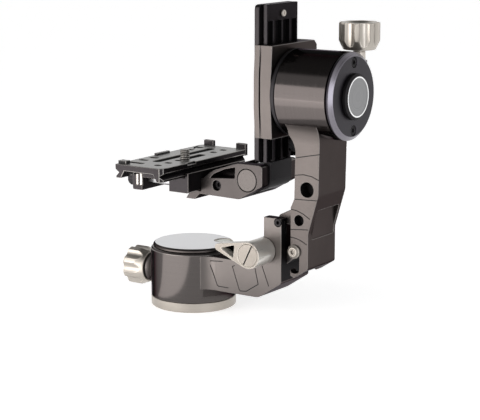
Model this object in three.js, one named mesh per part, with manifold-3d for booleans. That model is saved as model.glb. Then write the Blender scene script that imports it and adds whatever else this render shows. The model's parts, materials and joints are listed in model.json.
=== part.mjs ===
// Folding gimbal tripod head, in millimetres.
// X runs along the tilt axis, Y along the lens axis and Z up. The origin is the centre of the
// base's underside, on the pan axis.
import * as THREE from "three";
import { mergeVertices } from "three/addons/utils/BufferGeometryUtils.js";
import Module from "manifold-3d";

const wasm = await Module();
wasm.setup();

// Shared clearances and counts
const gap = 0.3; // between two pieces that touch
const slideGap = 0.5; // between two pieces that slide past each other
const overrun = 2; // how far a cutter runs past the face it cuts
const wideSides = 48;
const middleSides = 28;
const smallSides = 16;
const slotCornerShare = 0.9; // rounding of a slot's end, as a share of half its width
const hexSides = 6;
const cornerSteps = 3;

// Pan base and spindle
const baseRadius = 30;
const baseHeight = 6.8;
const baseEdge = 0.8;
const spindleRadius = 9;
const spindleTop = 38;
const spindleFoot = 0.4;
const tripodThreadRadius = 4.76; // 3/8 inch thread
const tripodThreadDepth = 13;
const bearingRadius = 15;
const bearingHeight = 7;
const lowerBearingBottom = 10.5;
const upperBearingBottom = 25.5;
const spindleNutRadius = 12.5;
const spindleNutHeight = 4;

// Pan drum
const drumRadius = 30;
const drumTop = 42;
const drumEdge = 1.3;
const brakeAxisHeight = 21.5;
const brakeShoeLength = 9;
const brakeBoreRadius = 3.4;
const brakeBossRadius = 10.2;
const brakeBossEnd = 35.8; // from the pan axis
const capRadius = 28.4;
const capTopRadius = 27.1;
const capTop = 44.7;
const capBevel = 1.2;
const levelRadius = 6.4;
const levelX = 16.2;
const levelY = 13.8;
const levelDepth = 3.6;
const levelWall = 0.9;
const levelGlass = 1.2;

// Silver lock knobs, of the pan brake, the tilt brake and the rail clamp
const knobWideRadius = 13.7;
const knobNarrowRadius = 10.9;
const panKnobLength = 16.4;
const tiltKnobLength = 18.2;
const knobConeLength = 6;
const knobEdge = 0.7;
const knobDishRadius = 9.4;
const knobDishDepth = 1.5;
const knobFlutes = 8;
const knobFluteRadius = 4.6;
const knobFluteDepth = 1.9;
const knobStudRadius = 3;
const knobRingRadius = 9;
const knobRingLength = 0.8;

// Base arm and elbow block
const armHalfWidth = 17.5;
const armBottom = 16.8;
const armTop = 40.4;
const armFilletRadius = 14;
const elbowLow = 66.2; // where the underside turns up
const elbowRise = 29; // height where that slope meets the end face
const blockLeft = 70.7;
const blockRight = 84.6;
const blockTop = 73.3;
const farCheekTop = 66;
const cheekInner = 10.8; // inner face of the clamp cheeks
const elbowCorner = 1.2;
const slotLeft = 65;
const slotFloor = 45;
const engravingWidth = 0.6;
const engravingDepth = 0.5;

// Fold clamp lever
const leverX = 71.3;
const leverZ = 50.5;
const leverHubRadius = 9;
const leverFront = 38; // distance of its front face from the arm's middle plane
const leverPlate = 7;
const leverTipX = 47.4;
const leverTipZ = 53.4;
const leverTipRadius = 2.4;
const leverRim = 2.1;
const leverScrewRadius = 7.5;
const leverScrewDepth = 2.4;
const leverScrewSlot = 1;
const leverSlotTurn = 66; // degrees
const clampBoltRadius = 3;
const clampNutRadius = 6;
const clampNutHeight = 3.4;

// Fold pivot
const pivotX = 95.2;
const pivotZ = 52.6;
const knuckleRadius = 5.3;
const tongueRoot = 40; // height of the tongue's underside at the block
const tongueLowTurn = -115; // degrees round the knuckle where its underside meets it
const tongueHighTurn = 120; // and its top
const pivotBushRadius = 3.5;
const pivotBore = 1.7;
const pivotHeadRadius = 4.8;
const pivotHeadHeight = 2.6;
const pivotSocketRadius = 1.7;
const pivotTravel = 11.5;

// Upright arm
const footLeft = 91.8;
const footRight = 105.5;
const footBottomLeft = 32.7;
const footBottomRight = 41.4;
const footChamferX = 2.6;
const footChamferZ = 3.2;
const webThickness = 4.3;
const forkTop = 60;
const bendLow = 82;
const bendHigh = 88;
const neckLeft = 95.3;
const neckFlareLow = 117; // where the neck starts to widen to the left
const neckFlareRadius = 20;
const neckFlareTurn = 41; // degrees of that curve
const neckRight = 114.3;
const rightBendLow = 65.5;
const rightBendHigh = 91.5;
const ribLeft = 78.2;
const ribRight = 83.2;
const ribBottom = 51.2;
const ribTopLeft = 74.3;
const ribBridge = 68.8;
const upperHoleX = 104.3;
const upperHoleZ = 95;
const upperHoleRadius = 5.1;
const upperHoleDepth = 9;
const lowerHoleX = 98.3;
const lowerHoleZ = 73.9;
const lowerHoleRadius = 3.6;
const lowerHoleDepth = 6;
const pocketNear = 13;
const pocketFar = 15;
const pocketLow = 61;
const pocketHigh = 81;
const pocketStep = 0.4; // its depth at the lower edge
const pocketLean = 1.2; // how far its floor leans outwards
const pocketCorner = 2;

// Tilt drum
const tiltZ = 156.3;
const tiltDrumRadius = 29;
const tiltDrumLeft = 86;
const tiltDrumRight = 123.7;
const tiltFilletRadius = 21;
const tiltCavityRadius = 20;
const tiltWall = 3.5;
const tiltShaftRadius = 10;
const tiltBearingRadius = 17;
const tiltBearingWidth = 5.4;
const tiltCoverRight = 128.7;
const tiltCoverEdge = 1.1;
const tiltCoverChamfer = 2.9;
const tiltCoverChamferDepth = 2.5;
const coverScrewRadius = 3.2;
const coverScrewShank = 1;
const coverScrewSeat = 2.4;
const coverScrewCircle = 22.2;
const coverScrewCount = 2;
const badgeRadius = 15.2;
const badgeStep = 3.1;
const badgeChamfer = 1.9;
const badgeChamferDepth = 1.1;
const badgeDish = 0.3;
const badgeRim = 0.9;
const flangeRight = 85.3;
const flangeLeft = 83.1;
const hubRadius = 27;
const tiltBossRadius = 5.4;
const tiltKnobX = 114.3;
const tiltBossOffset = 2; // of its axis from the drum's side
const tiltKnobY = tiltDrumRadius + tiltBossOffset;
const tiltBossRise = 20.2; // above the tilt axis
const tiltBossDrop = 16.3; // below the tilt axis
const tiltBossTop = tiltZ + tiltBossRise;
const tiltBossBottom = tiltZ - tiltBossDrop;
const tiltKnobRise = 45.5;
const tiltKnobTop = tiltZ + tiltKnobRise;
const tiltCollarRadius = 4.2;

// Rail clamp
const clampLeft = 67.4;
const clampRight = 80.8;
const clampDrop = 29.3; // below the tilt axis
const clampRise = 32; // above the tilt axis
const clampBottom = tiltZ - clampDrop;
const clampTop = tiltZ + clampRise;
const railHalfWidth = 21.5;
const clampNearWall = 2.1;
const clampNear = railHalfWidth + clampNearWall;
const clampBulge = 1.7;
const clampSplit = 3.9;
const clampSeamWidth = 1.1;
const jawThickness = 4;
const jawTravel = 1.5;
const clampWall = 4.2;
const clampCorner = 3;
const railKnobRadius = 11.2;
const railKnobLength = 11.5;
const railKnobRim = 1;
const railKnobFluteDepth = 1.1;
const railKnobFlutes = 12;
const railStudRadius = 2.4;
const hubScrewRadius = 2.3;
const hubScrewSpacing = 17;
const bumperRadius = 6;
const bumperLength = 7.6;
const bumperY = 13.5;
const bumperZ = 119.6;
const bumperFluteDepth = 0.7;
const bumperFluteRadius = 2;
const bumperSocketRadius = 2.4;

// Swing rail
const railFront = 65.6;
const railPlate = 3.6;
const railHeadBack = 73.6;
const railHeadInset = 2.9;
const railHeadHalf = railHalfWidth - railHeadInset;
const railGroove = 1.9;
const railGrooveWidth = 1.6;
const hingeZ = 97.3; // platform hinge
const railStandoff = 12.7; // over the hinge
const railBottom = hingeZ + railStandoff;
const railRise = 26; // above the clamp
const railTop = clampTop + railRise;
const railCorner = 3.4;
const railTopBlock = 10.9; // height of the block over the channels
const railChannelTop = railTop - railTopBlock;
const railChannelDepth = 3;
const railChannelNear = 0.6; // edges of the two channels beside the middle rib
const railChannelFar = 8.5;
const railSideChannelNear = 11.2; // edges of the channel beside each edge
const railSideChannelFar = 17.4;
const railPadHeight = 1.2;
const railPadEdge = 5;
const stopScrewRadius = 2.2;
const stopScrewProud = 1.2;
const stopScrewLength = 4.4;
const stopScrewDrop = 6.5;
const stopScrewZ = railTop - stopScrewDrop;
const clampBack = railHeadBack + slideGap; // face that the rail's back runs on
const railKnobX = (clampLeft + clampBack) / 2;

// Platform hinge and bracket
const hingeX = 59.6;
const hingePinRadius = 3;
const hingeCapRadius = 7.7;
const hingeCapDepth = 2.5;
const bracketHalfWidth = 21.5;
const hingeCheek = 8;
const bracketRight = 71.8;
const bracketBottom = 83.7;
const bracketRoom = 1.8; // under the rail
const bracketTop = railBottom - bracketRoom;
const bracketTopLeft = 52.2;
const bracketCornerDrop = 3.1;
const bracketCorner = hingeZ - bracketCornerDrop;
const bracketKeel = 53.4;
const bracketShoulderX = 31.3;
const bracketShoulderDrop = 7.1;
const bracketShoulderZ = bracketTop - bracketShoulderDrop;
const bracketLeft = 22.1;
const bracketShelf = 86.2;
const hookLeft = 9.4;
const hookTopLeft = 13.4;
const hookRight = 16.8;
const hookBottom = 80;
const bracketPocketDepth = 13;
const bracketPocketRim = 2;
const socketHoleX = 35;
const socketHoleZ = 91.4;
const socketHoleRadius = 3.5;
const socketHoleDepth = 7;
const footKnuckle = 9.6;
const footTop = railBottom - gap;
const footBack = 73.2;
const footFront = 67.8;

// Plate clamp
const plateClampNear = 36;
const plateClampFar = 26;
const plateClampRight = 21.8;
const plateClampSplit = 17;
const plateClampLeft = 25.4;
const plateClampBottom = 86.5;
const jawBottom = 84.8;
const windowRight = 5.8;
const windowDepth = 18;
const windowRoof = 3;
const clampRodY = 27;
const clampRodZ = 91.2;
const clampRodRadius = 2;
const clampKnobRadius = 5.4;
const clampKnobCollar = 4;
const clampKnobCollarLength = 1.6;
const clampKnobLength = 6;
const jawPinRadius = 0.8;
const jawPinPitch = 3.2;
const jawPinInset = 0.8;
const jawPinCount = 2;

// Quick release plate
const plateBottom = 97.4;
const plateHeight = 9.4;
const plateTop = plateBottom + plateHeight;
const plateHalfWidth = 19.5;
const plateNear = 62.2;
const plateFar = 38;
const plateSlab = 3.4;
const plateNotch = 3;
const plateFlange = 18.9;
const plateFlangeHeight = 1.4;
const plateFlangeTop = plateBottom + plateFlangeHeight;
const plateFlankHeight = 2.4;
const plateNotchZ = plateFlangeTop + plateFlankHeight;
const plateArchHalf = 15;
const plateArchSlope = 2.8;
const plateArchHeight = 5.2;
const plateArchTop = plateBottom + plateArchHeight;
const plateClampTop = plateBottom - slideGap;
const jawLipHeight = 1.4; // over the plate's flange
const jawTop = plateFlangeTop + jawLipHeight;
const cameraSlotHalf = 3.3;
const cameraSlotStart = 41;
const cameraSlotEnd = 27;
const cameraSlotX = -2.4;
const sideSlotX = 7.4;
const sideSlotStart = 23.2;
const sideSlotEnd = 2;
const plateCorner = 6;
const plateHolePitch = 11.7;
const plateHolesNear = 3;
const plateHolesFar = 2;
const plateHoleStart = -51;
const plateHoleEnd = 13.5;
const plateHoleHalf = 2.2; // half the length along Y
const leftHoleX = -12.9;
const leftHoleHalf = 3.6; // half the width along X
const longHoleHalf = 6.6;
const longHoleX = -10.4;
const rightHoleX = 8;
const rightHoleHalf = 2.7;
const sideBarNear = -19;
const sideBarFar = -4;
const sideBarWidth = 2.6;
const sideBarHeight = 1.4;
const cornerTabNear = -59;
const cornerTabFar = -54;
const cornerTabWidth = 6.5;
const cornerTabHeight = 2;
const tabWidth = 8.2;
const tabThickness = 3;
const tabHeight = 3.4;
const tabDrop = 5;
const tabOffset = 14;
const edgeNotchNear = -33;
const edgeNotchFar = -23.5;
const edgeNotchWidth = 1.8;
const edgeNotchDepth = 1.5;
const cameraScrewRadius = 3.17; // 1/4 inch thread
const cameraScrewProud = 6.6;
const cameraScrewHead = 4.2;
const cameraScrewHeadHeight = 2.4;
const cameraScrewY = 19.6;
const cameraWasherRadius = 4.4;
const cameraWasherHeight = 1;

// Finishes
const gunmetal = new THREE.MeshStandardMaterial({ color: 0x5f5b5c, roughness: 0.45, metalness: 0.8 });
const blackAnodised = new THREE.MeshStandardMaterial({ color: 0x1c1c1e, roughness: 0.45, metalness: 0.6 });
const satinSilver = new THREE.MeshStandardMaterial({ color: 0xc4bdb4, roughness: 0.35, metalness: 1 });
const paleDisc = new THREE.MeshStandardMaterial({ color: 0xd2d2d4, roughness: 0.35, metalness: 0.9 });
const steel = new THREE.MeshStandardMaterial({ color: 0x9a9a9c, roughness: 0.3, metalness: 1 });
const brass = new THREE.MeshStandardMaterial({ color: 0xb08d4a, roughness: 0.4, metalness: 1 });
const plastic = new THREE.MeshStandardMaterial({ color: 0x2a2a2c, roughness: 0.6, metalness: 0 });
const glass = new THREE.MeshStandardMaterial({ color: 0xdfe6d8, roughness: 0.1, metalness: 0 });

// Solids: conversion, joining and cutting

function toSolid(geometry) {
  const bare = geometry.clone();
  bare.deleteAttribute("normal");
  bare.deleteAttribute("uv");
  const merged = mergeVertices(bare);
  const vertProperties = merged.attributes.position.array;
  const triVerts = new Uint32Array(merged.index.array);
  return new wasm.Manifold(new wasm.Mesh({ numProp: 3, vertProperties, triVerts }));
}

function toGeometry(solid) {
  const mesh = solid.getMesh();
  const geometry = new THREE.BufferGeometry();
  geometry.setAttribute("position", new THREE.BufferAttribute(mesh.vertProperties, 3));
  geometry.setIndex(new THREE.BufferAttribute(mesh.triVerts, 1));
  return geometry;
}

const join = (...bodies) => toGeometry(bodies.map(toSolid).reduce((a, b) => a.add(b)));
const cut = (body, ...tools) =>
  toGeometry(tools.map(toSolid).reduce((a, b) => a.subtract(b), toSolid(body)));
const common = (a, b) => toGeometry(toSolid(a).intersect(toSolid(b)));

// Basic shapes

// A closed outline through corners [x, y] or [x, y, setback of the rounded corner].
function outline(corners) {
  const shape = new THREE.Shape();
  corners.forEach(([x, y, setback = 0], i) => {
    const before = corners[(i + corners.length - 1) % corners.length];
    const after = corners[(i + 1) % corners.length];
    const towards = ([otherX, otherY]) => {
      const share = setback / Math.hypot(otherX - x, otherY - y);
      return [x + (otherX - x) * share, y + (otherY - y) * share];
    };
    if (i) shape.lineTo(...towards(before));
    else shape.moveTo(...towards(before));
    if (setback) shape.quadraticCurveTo(x, y, ...towards(after));
  });
  shape.closePath();
  return shape;
}

function rectangle(left, right, low, high, setback = 0) {
  return outline([
    [left, low, setback],
    [right, low, setback],
    [right, high, setback],
    [left, high, setback],
  ]);
}

// A slab of an outline in the plan, from one height to another.
function slabZ(shape, low, high) {
  const slab = new THREE.ExtrudeGeometry(shape, {
    depth: high - low,
    bevelEnabled: false,
    curveSegments: cornerSteps,
  });
  return slab.translate(0, 0, low);
}

// A slab of an outline in X and Z, from one Y to another.
const slabY = (shape, low, high) => slabZ(shape, -high, -low).rotateX(Math.PI / 2);

// A slab of an outline in Y and Z, from one X to another.
const slabX = (shape, low, high) => slabZ(shape, low, high).rotateX(Math.PI / 2).rotateZ(Math.PI / 2);

const box = (x0, x1, y0, y1, z0, z1) => slabZ(rectangle(x0, x1, y0, y1), z0, z1);

// A body turned about Z from a profile of [radius, height] points.
function turned(profile, sides = middleSides) {
  const points = profile.map(([radius, height]) => new THREE.Vector2(radius, height));
  return new THREE.LatheGeometry(points, sides).rotateX(Math.PI / 2);
}

const rod = (radius, low, high, sides = smallSides) =>
  turned(
    [
      [0, low],
      [radius, low],
      [radius, high],
      [0, high],
    ],
    sides,
  );

const tube = (inner, outer, low, high, sides = middleSides) =>
  turned(
    [
      [inner, low],
      [outer, low],
      [outer, high],
      [inner, high],
      [inner, low],
    ],
    sides,
  );

// Turn a body made about Z so that it lies about X or Y.
const alongX = (geometry) => geometry.rotateY(Math.PI / 2);
const alongY = (geometry) => geometry.rotateX(-Math.PI / 2);
const mirrorY = (geometry) => alongY(geometry).rotateZ(Math.PI);

function mesh(name, geometry, finish) {
  const node = new THREE.Mesh(geometry, finish);
  node.name = name;
  return node;
}

// Fasteners and knobs, made about Z with the head at the top

function socketScrew(headRadius, headHeight, shankRadius, length) {
  const shank = rod(shankRadius, -length, gap, smallSides);
  const head = rod(headRadius, 0, headHeight, smallSides);
  const socket = rod(headRadius / 2, headHeight / 2, headHeight + overrun, hexSides);
  return cut(join(shank, head), socket);
}

// A fluted knob that widens away from its seat at height 0.
function flutedKnob(knobLength) {
  const body = turned(
    [
      [0, 0],
      [knobNarrowRadius, 0],
      [knobWideRadius, knobConeLength],
      [knobWideRadius, knobLength - knobEdge],
      [knobWideRadius - knobEdge, knobLength],
      [knobDishRadius, knobLength],
      [knobDishRadius - knobDishDepth, knobLength - knobDishDepth],
      [0, knobLength - knobDishDepth],
    ],
    wideSides,
  );
  const flutes = [];
  for (let i = 0; i < knobFlutes; i++) {
    const turn = (2 * Math.PI * i) / knobFlutes;
    const away = knobWideRadius + knobFluteRadius - knobFluteDepth;
    const flute = rod(knobFluteRadius, -overrun, knobLength + overrun);
    flutes.push(flute.translate(away * Math.cos(turn), away * Math.sin(turn), 0));
  }
  return cut(body, ...flutes);
}

// The stud that a knob turns, with a ring under the knob.
function knobStud(length, ringRadius) {
  const ring = rod(ringRadius, -knobRingLength - gap, -gap, middleSides);
  const stud = rod(knobStudRadius, -length, -gap - knobRingLength / 2);
  return join(ring, stud);
}

// Engraved lines: thin bars along a run of points in X and Z, let into the faces at both sides.
function engravedLine(points) {
  const bars = [];
  for (let i = 1; i < points.length; i++) {
    const [x0, z0] = points[i - 1];
    const [x1, z1] = points[i];
    const length = Math.hypot(x1 - x0, z1 - z0);
    const half = engravingWidth / 2;
    const bar = rectangle(-half, length + half, -half, half);
    const turn = Math.atan2(z1 - z0, x1 - x0);
    for (const side of [-1, 1]) {
      const face = side * armHalfWidth;
      const slab = slabY(bar, face - engravingDepth, face + engravingDepth);
      bars.push(slab.rotateY(-turn).translate(x0, 0, z0));
    }
  }
  return join(...bars);
}

// Base: what stays on the tripod

function makeBaseRing() {
  return turned(
    [
      [spindleRadius + gap, 0],
      [baseRadius - baseEdge, 0],
      [baseRadius, baseEdge],
      [baseRadius, baseHeight],
      [spindleRadius + gap, baseHeight],
      [spindleRadius + gap, 0],
    ],
    wideSides,
  );
}

function makeSpindle() {
  const thread = rod(tripodThreadRadius, -overrun, tripodThreadDepth);
  return cut(rod(spindleRadius, spindleFoot, spindleTop, middleSides), thread);
}

const makePanBearing = (bottom) =>
  tube(spindleRadius + gap, bearingRadius, bottom, bottom + bearingHeight);

function makeSpindleNut() {
  const bottom = upperBearingBottom + bearingHeight + gap;
  return tube(spindleRadius + gap, spindleNutRadius, bottom, bottom + spindleNutHeight);
}

// Pan drum with the base arm and the elbow block

// The web that rounds the corner between the drum and one side of the arm.
function armFillet(side) {
  const reach = armHalfWidth + armFilletRadius;
  const distance = drumRadius + armFilletRadius;
  const centreX = Math.sqrt(distance ** 2 - reach ** 2);
  const touch = drumRadius / distance;
  const shape = new THREE.Shape();
  const start = Math.atan2(reach, -centreX);
  const turn = Math.PI / 2;
  const steps = 2 * cornerSteps;
  shape.moveTo(0, 0);
  shape.lineTo(touch * centreX, -touch * reach);
  for (let i = 1; i <= steps; i++) {
    const angle = start + ((turn - start) * i) / steps;
    const x = centreX + armFilletRadius * Math.cos(angle);
    shape.lineTo(x, -reach + armFilletRadius * Math.sin(angle));
  }
  shape.closePath();
  const web = slabZ(shape, armBottom, armTop);
  return side < 0 ? web : web.rotateX(Math.PI).translate(0, 0, armBottom + armTop);
}

function makePanHousing() {
  const bottom = baseHeight + gap;
  const drum = turned(
    [
      [0, bottom],
      [drumRadius, bottom],
      [drumRadius, drumTop - drumEdge],
      [drumRadius - drumEdge, drumTop],
      [0, drumTop],
    ],
    wideSides,
  );
  const side = outline([
    [0, armBottom],
    [elbowLow, armBottom, 2 * elbowCorner],
    [blockRight, elbowRise, elbowCorner],
    [blockRight, blockTop],
    [blockLeft, blockTop],
    [blockLeft, armTop],
    [0, armTop],
  ]);
  const arm = slabY(side, -armHalfWidth, armHalfWidth);
  const boss = alongY(rod(leverHubRadius, -armHalfWidth, armHalfWidth, middleSides));
  const right = blockRight + overrun;
  const top = blockTop + overrun;
  const slot = box(slotLeft, right, -cheekInner, cheekInner, slotFloor, top);
  const farStep = box(slotLeft, right, 0, armHalfWidth + overrun, farCheekTop, top);
  const tongue = makeTongue();
  const brakeBoss = alongX(rod(brakeBossRadius, 0, brakeBossEnd, middleSides)).rotateZ(Math.PI);
  const brakeBore = alongX(rod(brakeBoreRadius, 0, brakeBossEnd + overrun)).rotateZ(Math.PI);
  const cavity = rod(bearingRadius + gap, -overrun, drumTop + overrun, middleSides);
  const boltBore = alongY(rod(clampBoltRadius + gap, -armHalfWidth - overrun, armHalfWidth + overrun));
  const nutSeat = alongY(rod(clampNutRadius + gap, armHalfWidth - clampNutHeight, armHalfWidth + overrun));
  const pivotHole = alongY(rod(pivotBushRadius + gap, -armHalfWidth, armHalfWidth));
  const levelPocket = rod(levelRadius + gap, capTop - levelDepth - gap, capTop);
  const body = join(
    drum,
    armFillet(-1),
    armFillet(1),
    arm,
    boss.translate(leverX, 0, leverZ),
    brakeBoss.translate(0, 0, brakeAxisHeight),
  );
  return cut(
    join(cut(body, slot, farStep), tongue),
    cavity,
    brakeBore.translate(0, 0, brakeAxisHeight),
    boltBore.translate(leverX, 0, leverZ),
    nutSeat.translate(leverX, 0, leverZ),
    pivotHole.translate(pivotX, 0, pivotZ),
    levelPocket.translate(levelX, levelY, 0),
    stopScrewSeat(),
    ...armEngraving(),
  );
}

// The tongue that carries the fold pivot in front of the block's end face.
function makeTongue() {
  const onKnuckle = (degrees) => {
    const angle = THREE.MathUtils.degToRad(degrees);
    return [pivotX + knuckleRadius * Math.cos(angle), pivotZ + knuckleRadius * Math.sin(angle)];
  };
  const root = outline([
    [blockRight - overrun, tongueRoot],
    onKnuckle(tongueLowTurn),
    onKnuckle(tongueHighTurn),
    [blockRight - overrun, pivotZ - knuckleRadius / 2],
  ]);
  const half = cheekInner - slideGap;
  const knuckle = alongY(rod(knuckleRadius, -half, half)).translate(pivotX, 0, pivotZ);
  return join(slabY(root, -half, half), knuckle);
}

// Elbow stop screw: its head lies in the near cheek's top outer corner.
const stopInset = 2.8;
const stopX = blockRight - stopInset;
const stopZ = blockTop - stopInset;
const elbowScrewRadius = 2.6;
const elbowScrewHead = 4;
const elbowScrewShank = 1.5;

function stopScrewSeat() {
  const face = armHalfWidth + overrun;
  const seat = alongY(rod(elbowScrewRadius + gap, -face, -armHalfWidth + elbowScrewHead + gap));
  const bore = alongY(rod(elbowScrewShank + gap, -face, -cheekInner + overrun));
  return join(seat, bore).translate(stopX, 0, stopZ);
}

function makeElbowStopScrew() {
  const length = armHalfWidth - cheekInner - elbowScrewHead - gap;
  const screw = socketScrew(elbowScrewRadius, elbowScrewHead, elbowScrewShank, length);
  return alongY(screw)
    .rotateZ(Math.PI)
    .translate(stopX, -armHalfWidth + elbowScrewHead, stopZ);
}

// Panel lines on both sides of the base arm, as shares of its length and height.
function armEngraving() {
  const at = ([lengthShare, heightShare]) => [
    drumRadius + lengthShare * (blockRight - drumRadius),
    armBottom + heightShare * (armTop - armBottom),
  ];
  const firstPanelShares = [
    [0.127, 0.905],
    [-0.05, 0.87],
    [-0.068, 0.82],
    [0.048, 0.17],
    [0.07, 0.145],
    [0.212, 0.145],
  ];
  const secondPanelShares = [
    [0.31, 0.84],
    [0.28, 0.8],
    [0.382, 0.15],
    [0.4, 0.115],
    [0.49, 0.135],
    [0.665, 0.395],
    [0.655, 0.5],
    [0.62, 0.84],
  ];
  const thirdLineShares = [
    [0.72, 0.97],
    [0.82, 0.4],
  ];
  return [firstPanelShares, secondPanelShares, thirdLineShares].map((run) => engravedLine(run.map(at)));
}

function makeTopCap() {
  const bottom = drumTop + gap;
  const cap = turned(
    [
      [0, bottom],
      [capRadius, bottom],
      [capRadius, capTop - capBevel],
      [capTopRadius, capTop],
      [0, capTop],
    ],
    wideSides,
  );
  const window = rod(levelRadius + gap, bottom - overrun, capTop + overrun, middleSides);
  return cut(cap, window.translate(levelX, levelY, 0));
}

function makeLevelCup() {
  const cup = turned([
    [0, capTop - levelDepth],
    [levelRadius, capTop - levelDepth],
    [levelRadius, capTop],
    [levelRadius - levelWall, capTop],
    [levelRadius - levelWall, capTop - levelDepth + levelWall],
    [0, capTop - levelDepth + levelWall],
  ]);
  return cup.translate(levelX, levelY, 0);
}

function makeLevelGlass() {
  const top = capTop - gap;
  return rod(levelRadius - levelWall - gap, top - levelGlass, top, middleSides).translate(levelX, levelY, 0);
}

function makeBrakeShoe() {
  const start = spindleRadius + gap;
  const shoe = alongX(rod(brakeBoreRadius - gap, start, start + brakeShoeLength)).rotateZ(Math.PI);
  const fit = rod(start, 0, drumTop, middleSides);
  return cut(shoe.translate(0, 0, brakeAxisHeight), fit);
}

// Pan brake knob on the side away from the arm.
const panStudLength = brakeBossEnd + 2 * gap + knobRingLength - spindleRadius - brakeShoeLength - 2 * gap;
const panKnobSeat = brakeBossEnd + 2 * gap + knobRingLength;

function onBrakeAxis(geometry) {
  return alongX(geometry).rotateZ(Math.PI).translate(-panKnobSeat, 0, brakeAxisHeight);
}

// Fold clamp: lever, slotted screw, bolt and nut

function makeFoldLever() {
  const face = -leverFront;
  const hubBack = -armHalfWidth - gap;
  const hub = alongY(rod(leverHubRadius, face, hubBack, middleSides)).translate(leverX, 0, leverZ);
  const dx = leverTipX - leverX;
  const dz = leverTipZ - leverZ;
  const length = Math.hypot(dx, dz);
  const handle = slabY(teardrop(length, leverHubRadius, leverTipRadius), face, face + leverPlate);
  const opening = slabY(
    outline([
      [leverHubRadius + leverRim, -leverHubRadius / 2, leverTipRadius / 2],
      [length - leverRim, 0, leverTipRadius / 2],
      [leverHubRadius + leverRim, leverHubRadius / 2, leverTipRadius / 2],
    ]),
    face - overrun,
    face + leverPlate + overrun,
  );
  const arm = cut(handle, opening).rotateY(-Math.atan2(dz, dx)).translate(leverX, 0, leverZ);
  const seatFloor = face + leverScrewDepth + gap;
  const screwSeat = alongY(rod(leverScrewRadius + gap, face - overrun, seatFloor, middleSides));
  const boltBore = alongY(rod(clampBoltRadius + gap, face, hubBack + overrun));
  return cut(
    join(hub, arm),
    screwSeat.translate(leverX, 0, leverZ),
    boltBore.translate(leverX, 0, leverZ),
  );
}

// A drop shape: a large circle at the origin joined by tangents to a small one along X.
function teardrop(length, large, small) {
  const lean = Math.acos((large - small) / length);
  const shape = new THREE.Shape();
  const steps = 2 * cornerSteps;
  shape.absarc(0, 0, large, lean, -lean, false);
  for (let i = 0; i <= steps; i++) {
    const angle = -lean + (2 * lean * i) / steps;
    shape.lineTo(length + small * Math.cos(angle), small * Math.sin(angle));
  }
  shape.closePath();
  return shape;
}

function makeLeverScrew() {
  const disc = rod(leverScrewRadius, 0, leverScrewDepth, middleSides);
  const reach = leverScrewRadius + overrun;
  const half = leverScrewSlot / 2;
  const floor = leverScrewDepth - leverScrewSlot;
  const slot = box(-reach, reach, -half, half, floor, leverScrewDepth + overrun);
  const turn = THREE.MathUtils.degToRad(leverSlotTurn);
  const screw = mirrorY(cut(disc, slot)).rotateY(turn - Math.PI);
  return screw.translate(leverX, -leverFront + leverScrewDepth, leverZ);
}

function makeClampBolt() {
  const start = -leverFront + leverScrewDepth + 2 * gap;
  return alongY(rod(clampBoltRadius, start, armHalfWidth - gap)).translate(leverX, 0, leverZ);
}

function makeClampNut() {
  const nut = rod(clampNutRadius, armHalfWidth - clampNutHeight + gap, armHalfWidth, hexSides);
  const bore = rod(clampBoltRadius + gap, 0, armHalfWidth + overrun);
  return alongY(cut(nut, bore)).translate(leverX, 0, leverZ);
}

// Fold pivot: a bush through the tongue and a screw from each side

function makePivotBush() {
  const half = armHalfWidth - gap;
  const bush = tube(pivotBore + gap, pivotBushRadius - gap, -half, half, smallSides);
  return alongY(bush).translate(pivotX, 0, pivotZ);
}

function makePivotScrew(side) {
  const shoulderShare = 0.93;
  const topShare = 0.6;
  const profile = [
    [0, 0],
    [pivotHeadRadius, 0],
    [pivotHeadRadius * shoulderShare, pivotHeadHeight / 2],
    [pivotHeadRadius * topShare, pivotHeadHeight],
    [0, pivotHeadHeight],
  ];
  const head = turned(profile, middleSides);
  const shank = rod(pivotBore, -armHalfWidth + gap, pivotHeadHeight / 2);
  const socket = rod(pivotSocketRadius, pivotHeadHeight / 2, pivotHeadHeight + overrun, hexSides);
  const screw = cut(join(head, shank), socket);
  const turnedScrew = side < 0 ? mirrorY(screw) : alongY(screw);
  return turnedScrew.translate(pivotX, side * (armHalfWidth + gap), pivotZ);
}

// Upright arm and tilt drum

function uprightOutline() {
  return outline([
    [footLeft, footBottomLeft + footChamferZ],
    [footLeft + footChamferX, footBottomLeft + footChamferX * footSlope],
    [footRight, footBottomRight, elbowCorner],
    [footRight, rightBendLow, elbowCorner],
    [neckRight - elbowCorner, rightBendHigh, elbowCorner],
    [neckRight, tiltZ],
    ...neckWidening(),
    [neckLeft - elbowCorner / 2, bendHigh, elbowCorner],
    [footLeft, bendLow],
  ]);
}

// The curve by which the neck widens to the left below the drum, from the top down.
function neckWidening() {
  const steps = 2 * cornerSteps;
  const turn = THREE.MathUtils.degToRad(neckFlareTurn);
  const points = [];
  for (let i = steps; i >= 0; i--) {
    const angle = (turn * i) / steps;
    const x = neckLeft - neckFlareRadius * (1 - Math.cos(angle));
    points.push([x, neckFlareLow + neckFlareRadius * Math.sin(angle)]);
  }
  return [[points[0][0], tiltZ], ...points];
}

const footSlope = (footBottomRight - footBottomLeft) / (footRight - footLeft);

// The clamp rib that reaches over the tongue into the block's slot.
function clampRib() {
  const shape = outline([
    [footLeft + overrun, bendLow],
    [ribLeft, ribTopLeft, elbowCorner],
    [ribLeft, ribBottom, elbowCorner],
    [ribRight, ribBottom, elbowCorner],
    [ribRight, ribBridge],
    [footLeft + overrun, ribBridge],
  ]);
  return slabY(shape, -cheekInner + slideGap, cheekInner - slideGap);
}

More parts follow.
